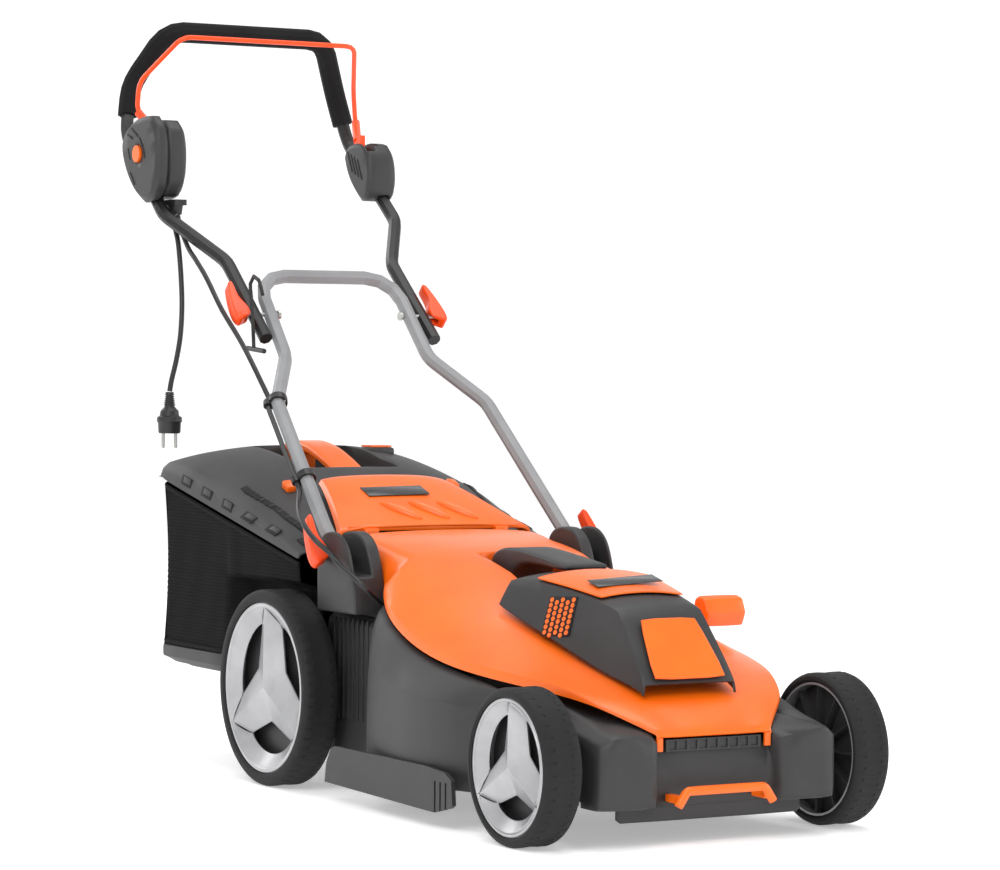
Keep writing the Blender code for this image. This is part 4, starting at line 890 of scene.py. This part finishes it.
    def tyre(self) -> None:
        """Builds the tyre with two rows of short blocks and a fine line between them."""
        mesh = bmesh.new()
        blocks = self.end.value
        per_block = 6
        steps = blocks * per_block
        r, h = self.radius, self.half
        across = [
            (self.seat + 0.0002, h - 0.0022),
            (self.seat + 0.0030, h - 0.0004),
            (r - 0.0085, h - 0.0002),
            (r - 0.0045, h - 0.0010),
            (r - 0.0015, h - 0.0035),
            (r, h - 0.0070),
            (r, h * 0.45),
            (r, h * 0.44),
            (r, 0.0012),
            (r, -0.0012),
            (r, -h * 0.44),
            (r, -h * 0.45),
            (r, 0.0070 - h),
            (r - 0.0015, 0.0035 - h),
            (r - 0.0045, 0.0010 - h),
            (self.seat + 0.0030, 0.0004 - h),
            (self.seat + 0.0002, 0.0022 - h),
        ]
        rows = []
        for i in range(steps):
            angle = 2 * math.pi * i / steps
            phase = i % per_block
            row = []
            for k, (radius, z) in enumerate(across):
                cut = 0.0
                outer_row = 5 <= k <= 6 or 11 <= k <= 12
                inner_row = 7 <= k <= 10
                if outer_row and phase == 0 or inner_row and phase == per_block // 2:
                    cut = 0.0011
                if k in (8, 9):
                    cut = 0.0007
                size = radius - cut
                turned = Vector((size * math.cos(angle), size * math.sin(angle), z))
                row.append(mesh.verts.new(self.place @ turned))
            rows.append(row)
        count = len(across)
        for i in range(steps):
            after = rows[(i + 1) % steps]
            for k in range(count):
                j = (k + 1) % count
                mesh.faces.new([rows[i][k], rows[i][j], after[j], after[k]])
        piece(f"tyre_tread_{self.tag}", mesh, TYRE, self.body, [f"tyre_{self.tag}"], 30)

    def build(self) -> None:
        """Builds the whole wheel."""
        self.rim()
        self.lip_ring()
        self.back_plate()
        self.tyre()


# ---- cords -------------------------------------------------------------------------------------------------


@dataclass
class Leads:
    """The mains lead with its plug, and the motor lead that runs down the left tube."""

    plug_radius: float = 0.0036
    motor_radius: float = 0.0034
    plug_route: tuple[Point, ...] = (
        (-0.1660, 1.0620, 0.7556),
        (-0.1661, 1.0600, 0.7500),
        (-0.1668, 1.0490, 0.7340),
        (-0.1690, 1.0349, 0.7140),
        (-0.1735, 1.0166, 0.6716),
        (-0.1780, 1.0032, 0.6295),
        (-0.1840, 0.9948, 0.5876),
        (-0.1900, 0.9950, 0.5527),
        (-0.1965, 0.9962, 0.5249),
        (-0.1990, 0.9970, 0.5090),
    )
    upper_route: tuple[Point, ...] = (
        (-0.1660, 1.0440, 0.7564),
        (-0.1640, 1.0400, 0.7385),
        (-0.1635, 1.0250, 0.7205),
        (-0.1660, 1.0050, 0.7060),
        (-0.1680, 0.9787, 0.6910),
        (-0.1685, 0.9441, 0.6660),
        (-0.1690, 0.8939, 0.6220),
        (-0.1705, 0.8345, 0.5810),
        (-0.1730, 0.7900, 0.5480),
    )
    lower_route: tuple[Point, ...] = (
        (-0.1980, 0.6034, 0.3700),
        (-0.2120, 0.5760, 0.3640),
        (-0.2215, 0.5520, 0.3540),
        (-0.2260, 0.5250, 0.3400),
        (-0.2225, 0.5050, 0.3255),
        (-0.2110, 0.4930, 0.3120),
        (-0.2045, 0.4830, 0.3000),
        (-0.2030, 0.4651, 0.2910),
        (-0.2010, 0.4409, 0.2810),
        (-0.1930, 0.4290, 0.2700),
        (-0.1780, 0.4330, 0.2580),
        (-0.1600, 0.4420, 0.2470),
        (-0.1400, 0.4500, 0.2440),
        (-0.1275, 0.4530, 0.2440),
    )

    def mains(self) -> None:
        """Builds the free mains lead, from its boot under the switch box to the plug."""
        path = smooth_path(AXLE.along(self.plug_route), 6)
        mesh = bmesh.new()
        pipe(mesh, path, lambda t: self.plug_radius)
        lead = piece("mains_lead", mesh, SHEATH, "upper_handle", ["plug_lead"])
        plug = self.plug()

    def plug(self) -> list[bpy.types.Object]:
        """Builds the plug: ribbed strain relief, flanged body and two pins.

        Returns:
            The plug's pieces.
        """
        low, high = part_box("mains_plug")
        x, y = (low.x + high.x) / 2, (low.y + high.y) / 2
        top = high.z
        place = Matrix.Translation((x, y, 0))
        mesh = bmesh.new()
        profile = [(0.0, top), (0.0052, top), (0.0056, top - 0.001)]
        ribs = 6
        for i in range(ribs):
            z = top - 0.003 - i * 0.0028
            swell = 0.0004 * i
            profile += [(0.0062 + swell, z), (0.0062 + swell, z - 0.0013)]
            profile += [(0.0050 + swell, z - 0.0016), (0.0050 + swell, z - 0.0026)]
        waist = top - 0.022
        profile += [
            (0.0085, waist),
            (0.0125, waist - 0.004),
            (0.0135, waist - 0.011),
            (0.0172, waist - 0.013),
            (0.0175, waist - 0.019),
            (0.0160, waist - 0.021),
            (0.0155, waist - 0.033),
            (0.0145, waist - 0.0355),
            (0.0, waist - 0.0355),
        ]
        lathe(mesh, profile, place, 40)
        bmesh.ops.remove_doubles(mesh, verts=mesh.verts, dist=0.00005)
        body = piece("plug_body", mesh, BLACK_NYLON, "upper_handle", ["mains_plug"])
        mesh = bmesh.new()
        for side in (-1, 1):
            pin = Matrix.Translation((x + side * 0.0095, y, 0))
            end = low.z
            start = waist - 0.034
            lathe(
                mesh,
                [
                    (0.0, start),
                    (0.0024, start),
                    (0.0024, end + 0.0015),
                    (0.0014, end + 0.0002),
                    (0.0, end + 0.0002),
                ],
                pin,
                20,
            )
        bmesh.ops.remove_doubles(mesh, verts=mesh.verts, dist=0.00005)
        pins = piece("plug_pins", mesh, ZINC, "upper_handle")
        return [body, pins]

    def motor(self) -> None:
        """Builds the motor lead's two stretches that cross the handle's folds."""
        upper_end, lower_start = self.ends_of_middle()
        path = smooth_path(AXLE.along(self.upper_route) + [upper_end], 5)
        mesh = bmesh.new()
        pipe(mesh, path, lambda t: self.motor_radius, 14)
        made = piece("motor_lead_top", mesh, SHEATH, None, ["motor_lead_upper"])
        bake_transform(made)
        lean = (upper_end - lower_start).normalized() * 0.012
        path = smooth_path([lower_start, lower_start - lean] + AXLE.along(self.lower_route), 5)
        mesh = bmesh.new()
        pipe(mesh, path, lambda t: self.motor_radius, 14)
        made = piece("motor_lead_foot", mesh, SHEATH, None, ["motor_lead_lower"])
        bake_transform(made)

    def ends_of_middle(self) -> tuple[Vector, Vector]:
        """Returns the two ends of the stretch clipped along the left tube."""
        points = [v.co for v in frame["nodes"]["motor_lead_mid"].data.vertices]
        high = max(p.z for p in points)
        low = min(p.z for p in points)
        ends = []
        for z in (high, low):
            near = [p for p in points if abs(p.z - z) < 0.006]
            ends.append(sum(near, Vector()) / len(near))
        return ends[0], ends[1]

    def build(self) -> None:
        """Builds every lead."""
        self.mains()
        self.motor()


# ---- dressing of the carried-over nodes --------------------------------------------------------------------


@dataclass
class Casting:
    """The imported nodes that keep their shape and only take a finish."""

    finishes: dict[str, Finish] = field(
        default_factory=lambda: {
            "orange_plastic": ORANGE,
            "red_orange_plastic": RED_ORANGE,
            "anthracite_plastic": ANTHRACITE,
            "lid_plastic": LID_GREY,
            "black_plastic": BLACK_NYLON,
            "tyre_rubber": SHEATH,
            "silver_plastic": SILVER,
            "plated_steel": ZINC,
            "grey_painted_tube": GREY_COAT,
            "black_painted_tube": BLACK_COAT,
            "foam": FOAM,
            "mesh_fabric": MESH,
        }
    )
    eased: tuple[str, ...] = ("side_comb_left", "side_comb_right")

    def build(self) -> None:
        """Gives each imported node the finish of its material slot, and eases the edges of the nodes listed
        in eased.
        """
        for row in frame["record"]["subparts"]:
            node = frame["nodes"][row["node"]]
            material = self.finishes[row["material_slot"]].material()
            node.data.materials.clear()
            node.data.materials.append(material)
            LOG.info("%s dressed in %s", row["node"], material.name)
        for name in self.eased:
            modify(
                frame["nodes"][name],
                "BEVEL",
                width=0.0012,
                segments=2,
                limit_method="ANGLE",
                angle_limit=math.radians(28),
                use_clamp_overlap=True,
            )


# ---- grass box ---------------------------------------------------------------------------------------------


@dataclass
class GrassBag:
    """The bag: a ribbed mesh shell that sags between its frame, with taped edges."""

    neck: float = 0.164
    full: float = 0.197
    front: float = 0.602
    shoulder: float = 0.790
    shelf: float = 0.2580
    rear: float = 1.028
    sag: float = 0.0070

    def top(self, back: float) -> float:
        """Returns the height of the lid's lower rim."""
        share = (back - 0.600) / (1.032 - 0.600)
        return 0.2975 + (0.3900 - 0.2975) * share - 0.0055

    def widened(self, point: Vector, z: float) -> Vector:
        """Moves a point of the neck out to the full width where it is above the rear wheels.

        Args:
            point: A point of the outline.
            z: Its height.

        Returns:
            The wall's place at that height.
        """
        share = min(1.0, max(0.0, (z - self.shelf) / 0.008))
        if point.y > self.rear - 0.021 or not share:
            return point.copy()
        half = abs(point.x) + (self.full - abs(point.x)) * share
        return Vector((math.copysign(half, point.x), point.y, 0))

    def outline(self) -> list[Vector]:
        """Returns the walls seen from above, from the left front round the back to the right front."""
        corner = 0.020
        half = [
            (self.neck, self.front),
            (self.neck, self.shoulder - 0.012),
            (self.neck + 0.004, self.shoulder),
            (self.full - 0.004, self.shoulder + 0.026),
            (self.full, self.shoulder + 0.038),
            (self.full, self.rear - corner),
            (self.full - corner * 0.3, self.rear - corner * 0.3),
            (self.full - corner, self.rear),
            (self.full * 0.5, self.rear + 0.002),
            (0.0, self.rear + 0.003),
        ]
        left = [Vector((-x, back, 0)) for x, back in half]
        right = [Vector((x, back, 0)) for x, back in reversed(half[:-1])]
        made = []
        for a, b in zip(left + right, (left + right)[1:]):
            count = max(1, round((b - a).length / 0.008))
            made += [a.lerp(b, i / count) for i in range(count)]
        return made + [right[-1]]

    def shell(self) -> None:
        """Builds the mesh walls row by row."""
        line = self.outline()
        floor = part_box("box_base")[1].z + 0.0005
        rows_count = 58
        mesh = bmesh.new()
        rows = []
        for j in range(rows_count + 1):
            share = j / rows_count
            row = []
            for i, point in enumerate(line):
                before, after = line[max(i - 1, 0)], line[min(i + 1, len(line) - 1)]
                run = (after - before).normalized()
                inward = Vector((-run.y, run.x, 0))
                if inward.dot(Vector((0, 0.85, 0)) - point) < 0:
                    inward = -inward
                high = self.top(point.y)
                z = floor + (high - floor) * share
                hollow = math.sin(math.pi * share) ** 0.8
                ease = 0.35 + 0.65 * math.sin(math.pi * min(1.0, max(0.0, (point.y - self.front) / 0.43)))
                drape = self.sag * hollow * ease
                fold = 0.0003 * math.sin(point.y * 95 + share * 7 + point.x * 60) * hollow
                rib = 0.00045 * (1 if j % 2 else -1)
                place = self.widened(point, z) + inward * (drape + fold + rib)
                row.append(mesh.verts.new(AXLE.at(place.x, place.y, z)))
            rows.append(row)
        for low, high in zip(rows, rows[1:]):
            for i in range(len(line) - 1):
                mesh.faces.new([low[i], low[i + 1], high[i + 1], high[i]])
        made = piece("bag_mesh", mesh, MESH, "grass_box", ["grass_bag"], 180)
        modify(made, "SOLIDIFY", thickness=0.0012, offset=0.0)

    def tapes(self) -> None:
        """Builds the sewn tapes along the top, the foot and the upright corners."""
        line = self.outline()
        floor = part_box("box_base")[1].z + 0.0005
        mesh = bmesh.new()
        for wanted in (0.985, 0.02):
            path = []
            for point in line[::2]:
                z = floor + (self.top(point.y) - floor) * wanted
                wall = self.widened(point, z)
                path.append(AXLE.at(wall.x * 1.002, wall.y, z))
            pipe(mesh, path, lambda t: 0.0026, 10)
        half, back = self.full + 0.0003, self.rear - 0.018
        rise = self.top(back) - floor
        for side in (-1, 1):
            path = []
            for step in range(13):
                share = step / 12
                sunk = self.sag * 0.8 * math.sin(math.pi * share)
                path.append(AXLE.at(side * (half - sunk), back, floor + rise * share))
            pipe(mesh, path, lambda t: 0.0020, 10)
        piece("bag_tapes", mesh, TAPE, "grass_box")

    def build(self) -> None:
        """Builds the bag."""
        self.shell()
        self.tapes()


@dataclass
class LidDetails:
    """Clip windows along the lid's rim, the grip channel and the small side tab."""

    slots: int = 6
    first: float = 0.622
    last: float = 0.943

    def clips(self) -> None:
        """Builds a framed window for each of the bag frame's hooks, its depth a dark patch of painted shade
        under the hook.
        """
        tree = surface_of("box_lid")
        shade_patches = bmesh.new()
        hook = bmesh.new()
        for side in (-1, 1):
            for i in range(self.slots):
                back = self.first + (self.last - self.first) * i / (self.slots - 1)
                rim = 0.2975 + (0.3900 - 0.2975) * (back - 0.600) / 0.432
                start = AXLE.at(side * 0.26, back, rim + 0.0145)
                place, out = lay_on(tree, start, Vector((-side, 0, 0)))
                run = Vector((0, 1, 0.214))
                here = facing(place + out * 0.0002, out, run)
                # Each window is a dark patch of painted shade, standing for the shadowed depth behind the
                # hook.
                block(shade_patches, here, (0.031, 0.0135, 0.0012), 0.0004)
                inner = here @ Matrix.Translation((-0.0035, -0.0018, 0.0006))
                block(hook, inner, (0.0220, 0.0078, 0.0022), 0.0008)
        piece("lid_clip_window_shade", shade_patches, SLOT_DARK, "grass_box")
        piece("lid_clip_hooks", hook, ANTHRACITE, "grass_box")

    def channels(self) -> None:
        """Builds the ribbed grip channel on each flank of the lid, its depth a row of dark patches of painted
        shade under grey ribs, and its orange tab.
        """
        tree = surface_of("box_lid")
        shade_patches = bmesh.new()
        ribs = bmesh.new()
        tab = bmesh.new()
        for side in (-1, 1):
            for i in range(15):
                back = 0.655 + 0.155 * i / 14
                start = AXLE.at(side * 0.26, back, 0.3470 + (back - 0.655) * 0.30)
                place, out = lay_on(tree, start, Vector((-side, 0, -0.15)))
                here = facing(place + out * 0.0002, out, Vector((0, 1, 0.30)))
                # The channel's depth is painted shade: dark patches laid on the lid's surface.
                block(shade_patches, here, (0.0118, 0.0090, 0.0014))
                if i % 2 == 0 and i < 12:
                    block(ribs, here @ Matrix.Translation((0, 0, 0.0007)), (0.0022, 0.0080, 0.0012), 0.0003)
            start = AXLE.at(side * 0.126, 0.773, 0.46)
            place, out = lay_on(tree, start, Vector((0, 0, -1)))
            here = facing(place + out * 0.002, out, Vector((0, 1, 0.2)))
            block(tab, here, (0.020, 0.014, 0.012), 0.003)
        piece("lid_grip_channel_shade", shade_patches, SLOT_DARK, "grass_box")
        piece("lid_grip_ribs", ribs, LID_GREY, "grass_box")
        piece("lid_side_tabs", tab, ORANGE, "grass_box")

    def pod(self) -> None:
        """Builds the raised seat under the box's full flap."""
        low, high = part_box("full_indicator")
        mesh = bmesh.new()
        middle = Vector(((low.x + high.x) / 2, (low.y + high.y) / 2, low.z - 0.0068))
        margin = 0.008
        size = (high.x - low.x + margin, high.y - low.y + margin, 0.0130)
        block(mesh, Matrix.Translation(middle), size, 0.004)
        piece("indicator_seat", mesh, LID_GREY, "grass_box")

    def build(self) -> None:
        """Builds the lid's details."""
        self.clips()
        self.channels()
        self.pod()


# ---- body details ------------------------------------------------------------------------------------------


@dataclass
class HoodDetails:
    """The hood's honeycomb vents and the smoked plate on its top."""

    cell: float = 0.0080
    columns: int = 5
    rows: int = 7

    def vents(self) -> None:
        """Builds a honeycomb of raised orange rings on each flank, over a dark plate of painted shade."""
        tree = surface_of("motor_hood")
        for side in Side:
            sign = side.value
            middle, out = lay_on(tree, AXLE.at(sign * 0.2, 0.140, 0.2745), Vector((-sign, 0, -0.2)))
            here = facing(middle + out * 0.0003, out, Vector((0, 1, -0.15)))
            # The dark plate is painted shade: it stands for the shadowed depth of the vents behind the rings.
            plate = bmesh.new()
            block(plate, here, (0.046, 0.050, 0.0010), 0.0004)
            piece(f"vent_shade_{side.name.lower()}", plate, SLOT_DARK, "deck")
            cells = bmesh.new()
            for i in range(self.columns):
                for j in range(self.rows):
                    x = (i - (self.columns - 1) / 2) * self.cell * 1.12
                    y = (j - (self.rows - 1) / 2 + (0.5 if i % 2 else 0.0)) * self.cell * 0.86
                    turn = here @ Matrix.Translation((x, y, 0.0008))
                    r = self.cell * 0.40
                    lathe(cells, [(0.0, 0.0004), (r, 0.0002), (r, -0.0006), (0.0, -0.0006)], turn, 6)
            bmesh.ops.remove_doubles(cells, verts=cells.verts, dist=0.00002)
            piece(f"vent_cells_{side.name.lower()}", cells, ORANGE, "deck")

    def plate(self) -> None:
        """Builds the blank smoked plate on the hood's top."""
        tree = surface_of("hood_top_panel")
        mesh = bmesh.new()
        place, out = lay_on(tree, AXLE.at(-0.002, 0.122, 0.4), Vector((0, 0, -1)))
        here = facing(place + out * 0.0004, out, Vector((1, 0, 0)))
        block(mesh, here, (0.092, 0.026, 0.0012), 0.0005)
        piece("hood_plate", mesh, LENS, "deck")

    def build(self) -> None:
        """Builds the hood's details."""
        self.vents()
        self.plate()


@dataclass
class FlapDetails:
    """The rear flap's blank plate and its three pressed ribs."""

    def build(self) -> None:
        """Builds the plate and the ribs on the flap."""
        tree = surface_of("rear_flap")
        plate = bmesh.new()
        place, out = lay_on(tree, AXLE.at(-0.012, 0.684, 0.6), Vector((0, 0, -1)))
        block(plate, facing(place + out * 0.0004, out, Vector((1, 0, 0))), (0.092, 0.030, 0.0012), 0.0005)
        piece("flap_plate", plate, LENS, "rear_flap")
        ribs = bmesh.new()
        for i in range(3):
            x = 0.010 + (i - 1) * 0.043
            path = []
            for k in range(9):
                t = k / 8
                spot, normal = lay_on(
                    tree, AXLE.at(x + 0.018 - 0.036 * t, 0.606 + 0.046 * t, 0.6), Vector((0, 0, -1))
                )
                path.append(spot - normal * 0.0014)
            pipe(ribs, path, lambda t: 0.0034 + 0.0046 * max(0.0, math.sin(math.pi * t)) ** 0.5, 18)
        piece("flap_ribs", ribs, ORANGE, "rear_flap")
        lip = bmesh.new()
        block(lip, Matrix.Translation(AXLE.at(0.0, 0.5936, 0.33525)), (0.262, 0.0024, 0.0065), 0.0008)
        piece("flap_front_lip", lip, ORANGE, "rear_flap")


@dataclass
class FlankFins:
    """The upright ribs of the deck's side, beside each rear wheel."""

    count: int = 8

    def build(self) -> None:
        """Builds the fins on both sides."""
        mesh = bmesh.new()
        for side in (-1, 1):
            for i in range(self.count):
                back = 0.470 + 0.013 * i
                here = Matrix.Translation(AXLE.at(side * 0.1655, back, 0.160))
                block(mesh, here, (0.004, 0.0022, 0.130), 0.0005)
        piece("flank_fins", mesh, ANTHRACITE, "deck")


@dataclass
class SwitchDetails:
    """Curved vent slits on the outer faces of the two handle boxes, drawn as dark strips of painted shade."""

    def slits(self, name: str, node: str, body: str, side: int, marks: Sequence[tuple[Point, Point]]) -> None:
        """Lays short dark strips of painted shade on a box, standing for the shadowed depth of its slits.

        Args:
            name: The piece's name.
            node: The box that carries them.
            body: The body that it rides on.
            side: The side that the face looks to.
            marks: The two ends of each slit, as (back, z).
        """
        tree = surface_of(node)
        mesh = bmesh.new()
        for (back_a, z_a), (back_b, z_b) in marks:
            ends = []
            for back, z in ((back_a, z_a), (back_b, z_b)):
                spot, normal = lay_on(tree, AXLE.at(side * 0.30, back, z), Vector((-side, 0, 0)))
                ends.append(spot)
            run = ends[1] - ends[0]
            here = facing((ends[0] + ends[1]) / 2 + normal * 0.0002, normal, run)
            # Each slit is a dark strip of painted shade laid on the box's face.
            block(mesh, here, (run.length, 0.0032, 0.0010), 0.0004)
        piece(name, mesh, SLOT_DARK, body)

    def build(self) -> None:
        """Builds the slits of both boxes."""
        outer = [
            ((1.094, 0.868), (1.116, 0.880)),
            ((1.076, 0.852), (1.090, 0.866)),
            ((1.112, 0.866), (1.130, 0.872)),
            ((1.070, 0.836), (1.076, 0.850)),
            ((1.120, 0.836), (1.128, 0.852)),
            ((1.104, 0.800), (1.120, 0.818)),
        ]
        self.slits("switch_slit_shade", "switch_box_outer", "upper_handle", -1, outer)
        inner = []
        for i in range(4):
            along, rise = 0.010 * i, 0.004 * i
            inner.append(((1.095 + along, 0.818 + rise), (1.110 + along, 0.848 + rise)))
        self.slits("pivot_slit_shade", "pivot_box", "upper_handle", -1, inner)


def main() -> None:
    """Builds the mower's looks in order."""
    logging.basicConfig(level=logging.INFO)
    Studio().build()
    Leads().build()
    Casting().build()
    for end in End:
        for side in Side:
            Wheel(end, side).build()
    for moulding in MOULDINGS:
        moulding.build()
    GrassBag().build()
    LidDetails().build()
    HoodDetails().build()
    FlapDetails().build()
    FlankFins().build()
    SwitchDetails().build()
    bpy.context.view_layer.update()


if __name__ == "__main__":
    main()
